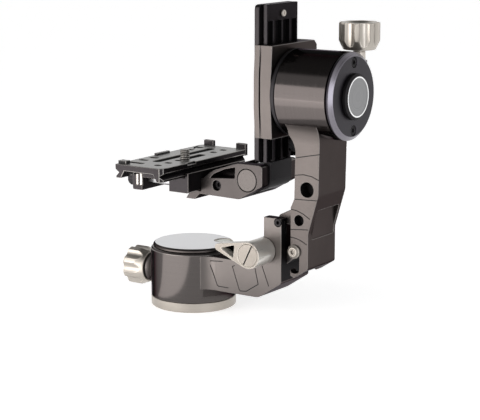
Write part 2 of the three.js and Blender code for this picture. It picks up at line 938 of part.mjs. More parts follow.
// The flare that rounds the corner between the tilt drum and one side of the neck.
function neckFlare(side) {
  const reach = armHalfWidth + tiltFilletRadius;
  const distance = tiltDrumRadius + tiltFilletRadius;
  const drop = Math.sqrt(distance ** 2 - reach ** 2);
  const touch = tiltDrumRadius / distance;
  const steps = 2 * cornerSteps;
  const start = Math.atan2(drop, -reach);
  const shape = new THREE.Shape();
  shape.moveTo(0, tiltZ);
  shape.lineTo(side * touch * reach, tiltZ - touch * drop);
  for (let i = 1; i <= steps; i++) {
    const angle = start + ((Math.PI - start) * i) / steps;
    const y = reach + tiltFilletRadius * Math.cos(angle);
    shape.lineTo(side * y, tiltZ - drop + tiltFilletRadius * Math.sin(angle));
  }
  shape.lineTo(0, tiltZ - drop);
  shape.closePath();
  return slabX(shape, tiltDrumLeft, neckRight);
}

function makeUprightArm() {
  const plate = slabY(uprightOutline(), -armHalfWidth, armHalfWidth);
  const widening = slabY(uprightOutline(), -tiltDrumRadius, tiltDrumRadius);
  const flares = common(join(neckFlare(-1), neckFlare(1)), widening);
  const drum = alongX(rod(tiltDrumRadius, tiltDrumLeft, tiltDrumRight, wideSides));
  const boss = rod(tiltBossRadius, tiltBossBottom, tiltBossTop, middleSides);
  const body = join(
    plate,
    flares,
    drum.translate(0, 0, tiltZ),
    boss.translate(tiltKnobX, tiltKnobY, 0),
  );
  const forkRoom = box(
    footLeft - overrun,
    footRight - webThickness,
    -cheekInner,
    cheekInner,
    footBottomLeft - overrun,
    forkTop,
  );
  const cavityLeft = tiltDrumLeft + tiltWall;
  const boreLeft = tiltDrumLeft - overrun;
  const cavity = alongX(rod(tiltCavityRadius, cavityLeft, tiltDrumRight + overrun, middleSides));
  const shaftBore = alongX(rod(tiltBearingRadius + gap, boreLeft, tiltDrumRight, middleSides));
  const studBore = rod(knobStudRadius + gap, tiltZ, tiltBossTop + overrun);
  const plugBore = alongY(rod(brakeBoreRadius, 0, tiltKnobY)).translate(tiltKnobX, 0, tiltZ);
  return cut(
    join(cut(body, forkRoom), clampRib()),
    cavity.translate(0, 0, tiltZ),
    shaftBore.translate(0, 0, tiltZ),
    studBore.translate(tiltKnobX, tiltKnobY, 0),
    plugBore,
    ...pivotSlots(),
    ...sideHoles(),
    ...coverScrewHoles(),
    facePocket(),
    ...neckEngraving(),
  );
}

// Slots in both cheeks of the foot, that run on the pivot's bush.
function pivotSlots() {
  const half = pivotBushRadius;
  const top = pivotZ + half;
  const bottom = pivotZ - pivotTravel - half;
  const shape = rectangle(pivotX - half, pivotX + half, bottom, top, half * slotCornerShare);
  return [slabY(shape, -armHalfWidth - overrun, armHalfWidth + overrun)];
}

function sideHoles() {
  const holes = [
    [upperHoleX, upperHoleZ, upperHoleRadius, upperHoleDepth],
    [lowerHoleX, lowerHoleZ, lowerHoleRadius, lowerHoleDepth],
  ];
  return holes.flatMap(([x, z, radius, depth]) => {
    const inner = armHalfWidth - depth;
    const outer = armHalfWidth + overrun;
    const near = alongY(rod(radius, -outer, -inner, middleSides)).translate(x, 0, z);
    const far = alongY(rod(radius, inner, outer, middleSides)).translate(x, 0, z);
    return [near, far];
  });
}

// Bare wedge-shaped pocket in the outer face, over the right bend: it gets deeper upwards.
function facePocket() {
  const face = rectangle(-pocketNear, pocketFar, pocketLow, pocketHigh, pocketCorner);
  const wedge = outline([
    [footRight - pocketStep, pocketLow - overrun],
    [footRight - pocketStep, pocketLow],
    [footRight + pocketLean, pocketHigh],
    [footRight + pocketLean, pocketHigh + overrun],
    [neckRight + overrun, pocketHigh + overrun],
    [neckRight + overrun, pocketLow - overrun],
  ]);
  const reach = slabX(face, footRight - overrun, neckRight + overrun);
  return common(reach, slabY(wedge, -armHalfWidth, armHalfWidth));
}

// Panel lines across the arm: from left to right, each end's height and the line's bow are
// shares of the tilt axis's height.
function neckEngraving() {
  const lineShares = [
    [neckLeft, 0.739, neckRight, 0.764, 0],
    [neckLeft, 0.665, neckRight, 0.652, 0.012],
    [neckLeft - elbowCorner, 0.562, neckRight - elbowCorner, 0.5675, 0],
    [footLeft, 0.518, footRight + elbowCorner, 0.485, 0.008],
    [footLeft, 0.43, footRight, 0.438, 0],
    [footLeft, 0.397, footRight - elbowCorner, 0.374, 0.006],
  ];
  return lineShares.map(([x0, startShare, x1, endShare, bowShare]) => {
    const points = [];
    for (let i = 0; i <= cornerSteps; i++) {
      const share = i / cornerSteps;
      const rise = startShare + (endShare - startShare) * share + 4 * bowShare * share * (1 - share);
      points.push([x0 + (x1 - x0) * share, rise * tiltZ]);
    }
    return engravedLine(points);
  });
}

function onCoverCircle(geometry, index) {
  const turn = (2 * Math.PI * index) / coverScrewCount + coverScrewTurn;
  const y = coverScrewCircle * Math.cos(turn);
  return geometry.translate(0, y, tiltZ + coverScrewCircle * Math.sin(turn));
}

const coverScrewTurn = Math.PI / 2;
const coverScrewLength = 6;

function coverScrewHoles() {
  const holes = [];
  for (let i = 0; i < coverScrewCount; i++) {
    const depth = coverScrewLength + gap;
    const hole = alongX(rod(coverScrewShank + gap, tiltDrumRight - depth, tiltDrumRight + overrun));
    holes.push(onCoverCircle(hole, i));
  }
  return holes;
}

function makeTiltCover() {
  const left = tiltDrumRight + gap;
  const cover = turned(
    [
      [0, left],
      [tiltDrumRadius - tiltCoverEdge, left],
      [tiltDrumRadius, left + tiltCoverEdge],
      [tiltDrumRadius, tiltCoverRight - tiltCoverChamferDepth],
      [tiltDrumRadius - tiltCoverChamfer, tiltCoverRight],
      [0, tiltCoverRight],
    ],
    wideSides,
  );
  const seats = [];
  for (let i = 0; i < coverScrewCount; i++) {
    const floor = tiltCoverRight - coverScrewSeat;
    const seat = rod(coverScrewRadius + gap, floor, tiltCoverRight + overrun, middleSides);
    const bore = rod(coverScrewShank + gap, left - overrun, tiltCoverRight);
    seats.push(onCoverCircle(alongX(seat), i), onCoverCircle(alongX(bore), i));
  }
  return cut(alongX(cover).translate(0, 0, tiltZ), ...seats);
}

function makeCoverScrew(index) {
  const seat = tiltCoverRight - coverScrewSeat + gap;
  const length = seat - tiltDrumRight + coverScrewLength;
  const screw = socketScrew(coverScrewRadius, coverScrewSeat - 2 * gap, coverScrewShank, length);
  return onCoverCircle(alongX(screw).translate(seat, 0, 0), index);
}

// The round raised cap in the middle of the cover, left bare.
function makeCoverBadge() {
  const seat = tiltCoverRight + gap;
  const rim = badgeRadius - badgeChamfer;
  const badge = turned(
    [
      [0, seat],
      [badgeRadius, seat],
      [badgeRadius, seat + badgeStep - badgeChamferDepth],
      [rim, seat + badgeStep],
      [rim - badgeRim, seat + badgeStep],
      [rim - badgeRim - badgeDish, seat + badgeStep - badgeDish],
      [0, seat + badgeStep - badgeDish],
    ],
    wideSides,
  );
  return alongX(badge).translate(0, 0, tiltZ);
}

// Tilt shaft, bearings and brake

const innerBearingLeft = tiltDrumLeft + gap;
const outerBearingLeft = tiltDrumRight - gap - tiltBearingWidth;

const makeTiltBearing = (left, outer) =>
  alongX(tube(tiltShaftRadius + gap, outer, left, left + tiltBearingWidth)).translate(0, 0, tiltZ);

function makeTiltShaft() {
  const start = flangeLeft - gap;
  return alongX(rod(tiltShaftRadius, start, tiltDrumRight - gap, middleSides)).translate(0, 0, tiltZ);
}

function makeTiltFlange() {
  const flange = turned(
    [
      [tiltShaftRadius + gap, clampRight + gap],
      [hubRadius, clampRight + gap],
      [hubRadius, flangeLeft],
      [tiltDrumRadius, flangeLeft],
      [tiltDrumRadius, flangeRight],
      [tiltShaftRadius + gap, flangeRight],
      [tiltShaftRadius + gap, clampRight + gap],
    ],
    wideSides,
  );
  const bores = [-1, 1].map((side) => {
    const bore = alongX(rod(hubScrewRadius / 2 + gap, clampRight - overrun, flangeRight + overrun));
    return bore.translate(0, side * hubScrewSpacing, 0);
  });
  return cut(alongX(flange), ...bores).translate(0, 0, tiltZ);
}

function makeBrakePlug() {
  const inner = tiltShaftRadius + gap;
  const end = tiltKnobY - knobStudRadius - gap;
  const plug = alongY(rod(brakeBoreRadius - gap, 0, end)).translate(tiltKnobX, 0, tiltZ);
  return cut(plug, alongX(rod(inner, tiltDrumLeft, tiltCoverRight, middleSides)).translate(0, 0, tiltZ));
}

const tiltKnobSeat = tiltKnobTop - tiltKnobLength;
const tiltStudLength = tiltKnobSeat - tiltZ - gap;
const onTiltKnobAxis = (geometry) => geometry.translate(tiltKnobX, tiltKnobY, tiltKnobSeat);

// A collar on the boss, that the tilt knob's stud runs through.
function makeTiltCollar() {
  const top = tiltKnobSeat - knobRingLength - 2 * gap;
  return tube(knobStudRadius + gap, tiltCollarRadius, tiltBossTop + gap, top, smallSides).translate(
    tiltKnobX,
    tiltKnobY,
    0,
  );
}

// Rail clamp, on the tilt shaft

const clampMiddle = (clampBottom + clampTop) / 2;
const railKnobZ = clampMiddle;
const jawOuter = railHalfWidth + gap + jawThickness;
const farWallInner = jawOuter + jawTravel + gap;
const farWallOuter = farWallInner + clampWall;

function makeClampBody() {
  const near = new THREE.Shape();
  near.moveTo(farWallOuter, clampBottom + clampCorner);
  near.lineTo(farWallOuter, clampTop - clampCorner);
  near.lineTo(farWallOuter - clampCorner, clampTop);
  near.lineTo(-clampNear, clampTop);
  near.quadraticCurveTo(-clampNear - 2 * clampBulge, clampMiddle, -clampNear, clampBottom);
  near.lineTo(farWallOuter - clampCorner, clampBottom);
  near.closePath();
  const block = slabX(near, clampLeft, clampRight);
  const bay = box(
    clampLeft - overrun,
    clampBack,
    -railHalfWidth - gap,
    farWallInner,
    clampBottom - overrun,
    clampTop + overrun,
  );
  const seam = clampLeft + clampSplit;
  const split = box(
    seam,
    seam + clampSeamWidth,
    -clampNear - clampBulge - overrun,
    -clampNear + engravingDepth,
    clampBottom - overrun,
    clampTop + overrun,
  );
  const shaftBore = alongX(rod(hubScrewRadius, clampBack - overrun, clampRight + overrun));
  const screwBores = [-1, 1].flatMap((side) => {
    const y = side * hubScrewSpacing;
    const bore = alongX(rod(hubScrewRadius / 2 + gap, clampBack - overrun, clampRight + overrun));
    const seat = alongX(rod(hubScrewRadius + gap, clampBack - overrun, clampBack + hubScrewRadius));
    return [bore.translate(0, y, tiltZ), seat.translate(0, y, tiltZ)];
  });
  const studBore = alongY(rod(railStudRadius + gap, jawOuter, farWallOuter + overrun));
  const body = join(cut(block, bay), dovetailLip(-1));
  return cut(
    body,
    split,
    shaftBore.translate(0, 0, tiltZ),
    ...screwBores,
    studBore.translate(railKnobX, 0, railKnobZ),
  );
}

// The lip of one jaw that enters the rail's groove.
function dovetailLip(side) {
  const tip = railHeadHalf - railGroove + 2 * gap;
  const root = railHalfWidth + overrun;
  const middle = railFront + railPlate + railGrooveWidth / 2;
  const half = railGrooveWidth / 2 - gap;
  const shape = new THREE.Shape();
  shape.moveTo(middle, side * tip);
  shape.lineTo(middle - half, side * railHeadHalf);
  shape.lineTo(middle - half, side * root);
  shape.lineTo(middle + half, side * root);
  shape.lineTo(middle + half, side * railHeadHalf);
  shape.closePath();
  return slabZ(shape, clampBottom, clampTop);
}

// The moving jaw slides between the rail and the clamp's far wall.
function makeClampJaw() {
  const jaw = box(clampLeft, clampBack - gap, railHalfWidth + gap, jawOuter, clampBottom, clampTop);
  const socket = alongY(rod(railStudRadius + gap, jawOuter - jawThickness / 2, jawOuter + overrun));
  return cut(join(jaw, dovetailLip(1)), socket.translate(railKnobX, 0, railKnobZ));
}

// The clamp knob and its stud, about Y at the far wall.
function makeRailKnob() {
  const start = farWallOuter + gap;
  const end = start + railKnobLength;
  const grip = turned(
    [
      [0, start],
      [railKnobRadius - railKnobRim, start],
      [railKnobRadius, start + railKnobRim],
      [railKnobRadius, end - 2 * railKnobRim],
      [railKnobRadius - 2 * railKnobRim, end],
      [0, end],
    ],
    middleSides,
  );
  const flutes = [];
  for (let i = 0; i < railKnobFlutes; i++) {
    const turn = (2 * Math.PI * i) / railKnobFlutes;
    const flute = rod(2 * railKnobFluteDepth, start - overrun, end + overrun, smallSides);
    const away = railKnobRadius + railKnobFluteDepth;
    flutes.push(flute.translate(away * Math.cos(turn), away * Math.sin(turn), 0));
  }
  const stud = rod(railStudRadius, jawOuter - jawThickness / 2 + gap, start + railKnobRim);
  return alongY(join(cut(grip, ...flutes), stud)).translate(railKnobX, 0, railKnobZ);
}

// Two screws that hold the clamp to the flange.
function makeHubScrews() {
  const screws = [-1, 1].map((side) => {
    const head = hubScrewRadius - gap;
    const length = flangeRight - clampBack - hubScrewRadius - gap;
    const screw = alongX(socketScrew(hubScrewRadius, head, hubScrewRadius / 2, length)).rotateZ(Math.PI);
    return screw.translate(clampBack + hubScrewRadius - gap, side * hubScrewSpacing, tiltZ);
  });
  return screws;
}

// Swing rail

function railSection() {
  const groove = railFront + railPlate;
  const half = railHeadHalf;
  const near = [
    [railFront, -railHalfWidth],
    [groove, -railHalfWidth],
    [groove, -half],
    [groove + railGrooveWidth / 2, -half + railGroove],
    [groove + railGrooveWidth, -half],
    [railHeadBack, -half],
  ];
  const channels = [
    [-railSideChannelFar, -railSideChannelNear],
    [-railChannelFar, -railChannelNear],
    [railChannelNear, railChannelFar],
    [railSideChannelNear, railSideChannelFar],
  ];
  const back = channels.flatMap(([low, high]) => [
    [railHeadBack, low],
    [railHeadBack - railChannelDepth, low],
    [railHeadBack - railChannelDepth, high],
    [railHeadBack, high],
  ]);
  const far = near.map(([x, y]) => [x, -y]).reverse();
  return outline([...near, ...back, ...far]);
}

function makeSwingRail() {
  const face = rectangle(-railHalfWidth, railHalfWidth, railBottom, railTop, railCorner);
  const extrusion = slabZ(railSection(), railBottom, railTop);
  const topBlock = box(
    railFront + railPlate,
    railHeadBack,
    -railSideChannelFar,
    railSideChannelFar,
    railChannelTop,
    railTop,
  );
  const body = common(join(extrusion, topBlock), slabX(face, railFront, railHeadBack + overrun));
  const depth = stopScrewLength + gap;
  const bore = alongX(rod(stopScrewRadius / 2 + gap, railHeadBack - depth, railHeadBack + overrun));
  return cut(join(body, ...railPads()), bore.translate(0, 0, stopScrewZ));
}

// Raised pads down the rail's front, near both edges, at shares of its height.
function railPads() {
  const padShares = [
    [0, 0.09],
    [0.17, 0.245],
    [0.39, 0.555],
    [0.84, 0.95],
  ];
  const height = railTop - railBottom;
  return padShares.flatMap(([lowShare, highShare]) =>
    [-1, 1].map((side) => {
      const edge = side * (railHalfWidth - railPadEdge);
      const low = railBottom + lowShare * height;
      const high = railBottom + highShare * height;
      const outer = edge + (side * railPadEdge) / 2;
      return box(
        railFront - railPadHeight,
        railFront + railPadHeight,
        Math.min(edge, outer),
        Math.max(edge, outer),
        low,
        high,
      );
    }),
  );
}

function makeStopScrew() {
  const screw = socketScrew(stopScrewRadius, stopScrewProud, stopScrewRadius / 2, stopScrewLength);
  return alongX(screw).translate(railHeadBack + gap, 0, stopScrewZ);
}

// The fluted black stop on the rail's back that meets the clamp from below.
function makeRailBumper() {
  const start = railHeadBack + gap;
  const end = start + bumperLength;
  const body = turned([
    [0, start],
    [bumperRadius, start],
    [bumperRadius, end - bumperFluteDepth],
    [bumperRadius - bumperFluteDepth, end],
    [0, end],
  ]);
  const flutes = [];
  for (let i = 0; i < knobFlutes; i++) {
    const turn = (2 * Math.PI * i) / knobFlutes;
    const away = bumperRadius + bumperFluteRadius - bumperFluteDepth;
    const flute = rod(bumperFluteRadius, start - overrun, end + overrun);
    flutes.push(flute.translate(away * Math.cos(turn), away * Math.sin(turn), 0));
  }
  const socket = rod(bumperSocketRadius, end - bumperSocketRadius, end + overrun, hexSides);
  return alongX(cut(body, ...flutes, socket)).translate(0, bumperY, bumperZ);
}

// Rail foot: the block under the rail that carries the platform hinge

function makeRailFoot() {
  const half = bracketHalfWidth - hingeCheek - slideGap;
  const knuckle = alongY(rod(footKnuckle, -half, half, middleSides)).translate(hingeX, 0, hingeZ);
  const stem = slabY(
    outline([
      [hingeX, hingeZ],
      [hingeX, hingeZ - footKnuckle, overrun],
      [footBack, hingeZ - footKnuckle / 2, footKnuckle / 2],
      [footBack, footTop],
      [footFront, footTop],
      [footFront, hingeZ],
    ]),
    -half,
    half,
  );
  const bore = alongY(rod(hingePinRadius + gap, -half - overrun, half + overrun));
  return cut(join(knuckle, stem), bore.translate(hingeX, 0, hingeZ));
}

// Platform bracket, hinged under the rail

function makeBracket() {
  const shape = outline([
    [hookLeft, hookBottom],
    [hookRight, hookBottom],
    [bracketLeft - hingeCapDepth / 2, bracketBottom + engravingDepth, elbowCorner],
    [bracketKeel, bracketBottom, elbowCorner],
    [bracketRight, bracketCorner, elbowCorner],
    [bracketRight, bracketTop, 2 * elbowCorner],
    [bracketTopLeft, bracketTop, 3 * elbowCorner],
    [bracketShoulderX, bracketShoulderZ, 3 * elbowCorner],
    [bracketLeft + elbowCorner, socketHoleZ + socketHoleRadius],
    [bracketLeft, socketHoleZ + socketHoleRadius],
    [bracketLeft, bracketShelf],
    [hookTopLeft, bracketShelf],
  ]);
  const body = slabY(shape, -bracketHalfWidth, bracketHalfWidth);
  const cheek = bracketHalfWidth - hingeCheek;
  const fork = slabY(
    outline([
      [hingeX - footKnuckle - slideGap, hingeZ - footKnuckle - overrun - slideGap],
      [bracketRight + overrun, hingeZ - footKnuckle - overrun - slideGap],
      [bracketRight + overrun, bracketTop + overrun],
      [hingeX - footKnuckle - slideGap, bracketTop + overrun],
    ]),
    -cheek,
    cheek,
  );
  const bore = alongY(rod(hingePinRadius + gap, -bracketHalfWidth - overrun, bracketHalfWidth + overrun));
  const capSeats = [-1, 1].map((side) => {
    const seat = alongY(rod(hingeCapRadius + gap, -overrun, hingeCapDepth + gap, middleSides));
    const face = side * bracketHalfWidth;
    return (side < 0 ? seat : seat.rotateZ(Math.PI)).translate(hingeX, face, hingeZ);
  });
  return cut(
    body,
    fork,
    bore.translate(hingeX, 0, hingeZ),
    ...capSeats,
    ...bracketPockets(),
    ...socketSeats(),
  );
}

// Triangular pockets over the socket screws, as shares of the bracket's length and height.
function bracketPockets() {
  const length = bracketTopLeft - bracketShoulderX;
  const rise = bracketTop - bracketShoulderZ;
  const cornerShares = [
    [-0.08, -0.72],
    [0.88, -0.48],
    [0.9, 0.58],
    [0.5, 0.3],
    [0.06, -0.28],
  ];
  const shape = outline(
    cornerShares.map(([lengthShare, riseShare]) => [
      bracketShoulderX + lengthShare * length,
      bracketShoulderZ + riseShare * rise,
      bracketPocketRim / 3,
    ]),
  );
  return [-1, 1].map((side) => {
    const inner = side * (bracketHalfWidth - bracketPocketDepth);
    const outer = side * (bracketHalfWidth + overrun);
    return slabY(shape, Math.min(inner, outer), Math.max(inner, outer));
  });
}

function socketSeats() {
  return [-1, 1].map((side) => {
    const seat = alongY(rod(socketHoleRadius, -overrun, socketHoleDepth, middleSides));
    const face = side * bracketHalfWidth;
    return (side < 0 ? seat : seat.rotateZ(Math.PI)).translate(socketHoleX, face, socketHoleZ);
  });
}

function makeSocketScrew(side) {
  const head = socketHoleDepth / 2;
  const screw = socketScrew(socketHoleRadius - gap, head, socketHoleRadius / 2, 0);
  const turnedScrew = side < 0 ? mirrorY(screw) : alongY(screw);
  const seat = bracketHalfWidth - socketHoleDepth + 2 * gap;
  return turnedScrew.translate(socketHoleX, side * seat, socketHoleZ);
}

function makeHingePin() {
  const half = bracketHalfWidth - hingeCapDepth - 2 * gap;
  return alongY(rod(hingePinRadius, -half, half)).translate(hingeX, 0, hingeZ);
}

function makeHingeCap(side) {
  const cap = turned([
    [0, 0],
    [hingeCapRadius, 0],
    [hingeCapRadius, hingeCapDepth - gap],
    [hingeCapRadius - gap, hingeCapDepth],
    [0, hingeCapDepth],
  ]);
  const turnedCap = side < 0 ? mirrorY(cap) : alongY(cap);
  return turnedCap.translate(hingeX, side * (bracketHalfWidth - hingeCapDepth), hingeZ);
}

// Plate clamp

// Outline in X and Z of the jaw lip over the plate's flange, on the +X side.
function jawLip(outer, inner, bottom) {
  const flank = (plateFlange - plateHalfWidth + plateNotch) / (plateNotchZ - plateFlangeTop);
  const lipX = plateFlange + gap - (jawTop - plateFlangeTop) * flank + gap;
  return outline([
    [inner, bottom],
    [outer, bottom, elbowCorner],
    [outer, jawTop],
    [lipX, jawTop],
    [plateFlange + gap, plateFlangeTop + gap],
    [plateFlange + gap, plateClampTop],
    [inner, plateClampTop],
  ]);
}

function makePlateClampBody() {
  const profile = jawLip(plateClampRight, -plateClampSplit, plateClampBottom);
  const block = slabY(profile, -plateClampNear, plateClampFar);
  const window = box(
    -plateClampSplit - overrun,
    windowRight,
    -plateClampNear - overrun,
    -plateClampNear + windowDepth,
    plateClampBottom - overrun,
    plateClampTop - windowRoof,
  );
  const bore = alongX(rod(clampRodRadius + gap, -plateClampSplit - overrun, plateClampRight - overrun));
  const farWindow = box(
    -plateClampSplit - overrun,
    windowRight,
    plateClampFar - windowDepth / 2,
    plateClampFar + overrun,
    plateClampBottom - overrun,
    plateClampTop - windowRoof,
  );
  return cut(block, window, farWindow, bore.translate(0, -clampRodY, clampRodZ));
}

function makePlateClampJaw() {
  const profile = jawLip(plateClampLeft, plateClampSplit + gap, jawBottom);
  const jaw = slabY(profile, -plateClampFar, plateClampNear);
  const bore = alongX(rod(clampRodRadius + gap, plateClampSplit - overrun, plateClampLeft + overrun));
  const pins = [...Array(jawPinCount).keys()].map((i) => jawPin(i, gap).rotateZ(Math.PI));
  return cut(jaw, bore.translate(0, clampRodY, clampRodZ), ...pins).rotateZ(Math.PI);
}

// One of the bright pins let into the jaw's near face.
function jawPin(index, room) {
  const x = -plateClampSplit - gap - jawPinInset - jawPinPitch * index;
  const pin = rod(jawPinRadius + room, plateClampBottom + overrun - room, plateClampTop - gap + 2 * room);
  return pin.translate(x, -plateClampNear + jawPinRadius / 2, 0);
}

function makeClampRod() {
  const start = -plateClampLeft - clampKnobCollarLength;
  const tie = alongX(rod(clampRodRadius, start, plateClampRight - 2 * overrun));
  return tie.translate(0, -clampRodY, clampRodZ);
}

// Knob of the plate clamp, on its left side.
function makeClampKnob() {
  const collarEnd = clampKnobCollarLength;
  const end = collarEnd + clampKnobLength;
  const body = turned(
    [
      [clampRodRadius + gap, gap],
      [clampKnobCollar, gap],
      [clampKnobCollar, collarEnd],
      [clampKnobRadius, collarEnd + knobEdge],
      [clampKnobRadius, end - knobEdge],
      [clampKnobRadius - knobEdge, end],
      [0, end],
      [0, collarEnd + gap],
      [clampRodRadius + gap, collarEnd + gap],
      [clampRodRadius + gap, gap],
    ],
    middleSides,
  );
  const flutes = [];
  for (let i = 0; i < knobFlutes; i++) {
    const turn = (2 * Math.PI * i) / knobFlutes;
    const away = clampKnobRadius + knobFluteDepth;
    const flute = rod(knobFluteDepth + knobEdge, collarEnd + gap, end + overrun);
    flutes.push(flute.translate(away * Math.cos(turn), away * Math.sin(turn), 0));
  }
  return alongX(cut(body, ...flutes))
    .rotateZ(Math.PI)
    .translate(-plateClampLeft, -clampRodY, clampRodZ);
}

// Quick release plate

function plateSection() {
  const right = [
    [plateFlange, plateBottom],
    [plateFlange, plateFlangeTop],
    [plateHalfWidth - plateNotch, plateNotchZ],
    [plateHalfWidth, plateTop - plateSlab],
    [plateHalfWidth, plateTop],
  ];
  const left = right.map(([x, z]) => [-x, z]).reverse();
  const arch = [
    [-plateArchHalf, plateBottom],
    [-plateArchHalf + plateArchSlope, plateArchTop],
    [plateArchHalf - plateArchSlope, plateArchTop],
    [plateArchHalf, plateBottom],
  ];
  return outline([...right, ...left, ...arch]);
}

function makePlate() {
  const body = slabY(plateSection(), -plateNear, plateFar);
  const plan = slabZ(
    outline([
      [-plateHalfWidth, -plateNear],
      [plateHalfWidth, -plateNear, plateCorner],
      [plateHalfWidth, plateFar, plateCorner / 2],
      [-plateHalfWidth, plateFar, plateCorner / 2],
    ]),
    plateBottom - overrun,
    plateTop + overrun,
  );
  const edge = -plateHalfWidth;
  const sunk = plateTop - overrun;
  const barTop = plateTop + sideBarHeight;
  const tabTop = plateTop + cornerTabHeight;
  const bar = box(edge, edge + sideBarWidth, sideBarNear, sideBarFar, sunk, barTop);
  const tab = box(edge, edge + cornerTabWidth, cornerTabNear, cornerTabFar, sunk, tabTop);
  return cut(join(common(body, plan), bar, tab), ...plateOpenings());
}

// A round-ended opening along Y through the plate's top.
function plateSlot(x, halfWidth, near, far) {
  const corner = Math.min(halfWidth, (far - near) / 2) * slotCornerShare;
  const shape = rectangle(x - halfWidth, x + halfWidth, near, far, corner);
  return slabZ(shape, plateBottom - overrun, plateTop + overrun);
}

function plateOpenings() {
  const edge = plateHalfWidth;
  const notchFloor = plateTop - edgeNotchDepth;
  const openings = [
    plateSlot(cameraSlotX, cameraSlotHalf, -cameraSlotStart, cameraSlotEnd),
    plateSlot(sideSlotX, cameraSlotHalf, -sideSlotStart, sideSlotEnd),
    box(edge - edgeNotchWidth, edge + overrun, edgeNotchNear, edgeNotchFar, notchFloor, plateTop + overrun),
  ];
  const addHole = (x, halfWidth, y) =>
    openings.push(plateSlot(x, halfWidth, y - plateHoleHalf, y + plateHoleHalf));
  for (let i = 0; i < plateHolesNear; i++) {
    const y = plateHoleStart + plateHolePitch * i;
    addHole(rightHoleX, rightHoleHalf, y);
    if (i) addHole(leftHoleX, leftHoleHalf, y);
    else addHole(longHoleX, longHoleHalf, y);
  }
  for (let i = 0; i < plateHolesFar; i++) {
    const y = plateHoleEnd + plateHolePitch * i;
    addHole(rightHoleX, rightHoleHalf, y);
    addHole(leftHoleX, leftHoleHalf, y);
  }
  return openings;
}

// A stop tab at the plate's far end, left or right of its middle.
function makeStopTab(side) {
  const x = side * tabOffset;
  const face = plateFar + gap;
  return box(
    x - tabWidth / 2,
    x + tabWidth / 2,
    face,
    face + tabThickness,
    plateTop - tabDrop,
    plateTop + tabHeight,
  );
}

function makeCameraScrew() {
  const headTop = plateArchTop - cameraWasherHeight - 2 * gap;
  const shank = rod(cameraScrewRadius, headTop - gap, plateTop + cameraScrewProud);
  const head = rod(cameraScrewHead, headTop - cameraScrewHeadHeight, headTop, middleSides);
  return join(shank, head).translate(sideSlotX, -cameraScrewY, 0);
}

function makeCameraWasher() {
  const top = plateArchTop - gap;
  const washer = tube(cameraScrewRadius + gap, cameraWasherRadius, top - cameraWasherHeight, top);
  return washer.translate(sideSlotX, -cameraScrewY, 0);
}

// Assembly: one group for each set of pieces that moves together

const head = new THREE.Group();
const pan = new THREE.Group();
const upright = new THREE.Group();
const tilt = new THREE.Group();
const rail = new THREE.Group();
const platform = new THREE.Group();
const plate = new THREE.Group();
head.add(pan);
pan.add(upright);
upright.add(tilt);
tilt.add(rail);
rail.add(platform);
platform.add(plate);

head.add(
  mesh("base_ring", makeBaseRing(), satinSilver),
  mesh("pan_spindle", makeSpindle(), steel),
  mesh("lower_pan_bearing", makePanBearing(lowerBearingBottom), steel),
  mesh("upper_pan_bearing", makePanBearing(upperBearingBottom), steel),
  mesh("pan_spindle_nut", makeSpindleNut(), steel),
);

pan.add(
  mesh("pan_housing", makePanHousing(), gunmetal),
  mesh("pan_top_cap", makeTopCap(), paleDisc),
  mesh("bubble_level_cup", makeLevelCup(), paleDisc),
  mesh("bubble_level_glass", makeLevelGlass(), glass),
  mesh("pan_brake_shoe", makeBrakeShoe(), brass),
  mesh("pan_lock_knob", onBrakeAxis(flutedKnob(panKnobLength)), satinSilver),
  mesh("pan_lock_stud", onBrakeAxis(knobStud(panStudLength, knobRingRadius)), plastic),
  mesh("fold_lever", makeFoldLever(), satinSilver),
  mesh("fold_lever_screw", makeLeverScrew(), satinSilver),
  mesh("fold_clamp_bolt", makeClampBolt(), steel),
  mesh("fold_clamp_nut", makeClampNut(), steel),
  mesh("elbow_stop_screw", makeElbowStopScrew(), blackAnodised),
  mesh("fold_pivot_bush", makePivotBush(), steel),
  mesh("fold_pivot_screw_near", makePivotScrew(-1), satinSilver),
  mesh("fold_pivot_screw_far", makePivotScrew(1), satinSilver),
);

upright.add(
  mesh("upright_arm", makeUprightArm(), gunmetal),
  mesh("tilt_end_cover", makeTiltCover(), gunmetal),
  mesh("tilt_cover_badge", makeCoverBadge(), blackAnodised),
  mesh("inner_tilt_bearing", makeTiltBearing(innerBearingLeft, tiltBearingRadius), steel),
  mesh("outer_tilt_bearing", makeTiltBearing(outerBearingLeft, tiltCavityRadius - gap), steel),
  mesh("tilt_brake_plug", makeBrakePlug(), brass),
  mesh("tilt_lock_collar", makeTiltCollar(), steel),
  mesh("tilt_lock_knob", onTiltKnobAxis(flutedKnob(tiltKnobLength)), satinSilver),
  mesh("tilt_lock_stud", onTiltKnobAxis(knobStud(tiltStudLength, tiltCollarRadius)), plastic),
);
for (let i = 0; i < coverScrewCount; i++)
  upright.add(mesh(`tilt_cover_screw_${i + 1}`, makeCoverScrew(i), blackAnodised));

tilt.add(
  mesh("tilt_shaft", makeTiltShaft(), steel),
  mesh("tilt_flange", makeTiltFlange(), blackAnodised),
  mesh("rail_clamp_body", makeClampBody(), gunmetal),
  mesh("rail_clamp_jaw", makeClampJaw(), gunmetal),
  mesh("rail_clamp_knob", makeRailKnob(), blackAnodised),
);
makeHubScrews().forEach((screw, i) => tilt.add(mesh(`rail_clamp_screw_${i + 1}`, screw, steel)));

rail.add(
  mesh("swing_rail", makeSwingRail(), blackAnodised),
  mesh("upper_stop_screw", makeStopScrew(), satinSilver),
  mesh("rail_bumper", makeRailBumper(), blackAnodised),
  mesh("rail_foot", makeRailFoot(), blackAnodised),
);

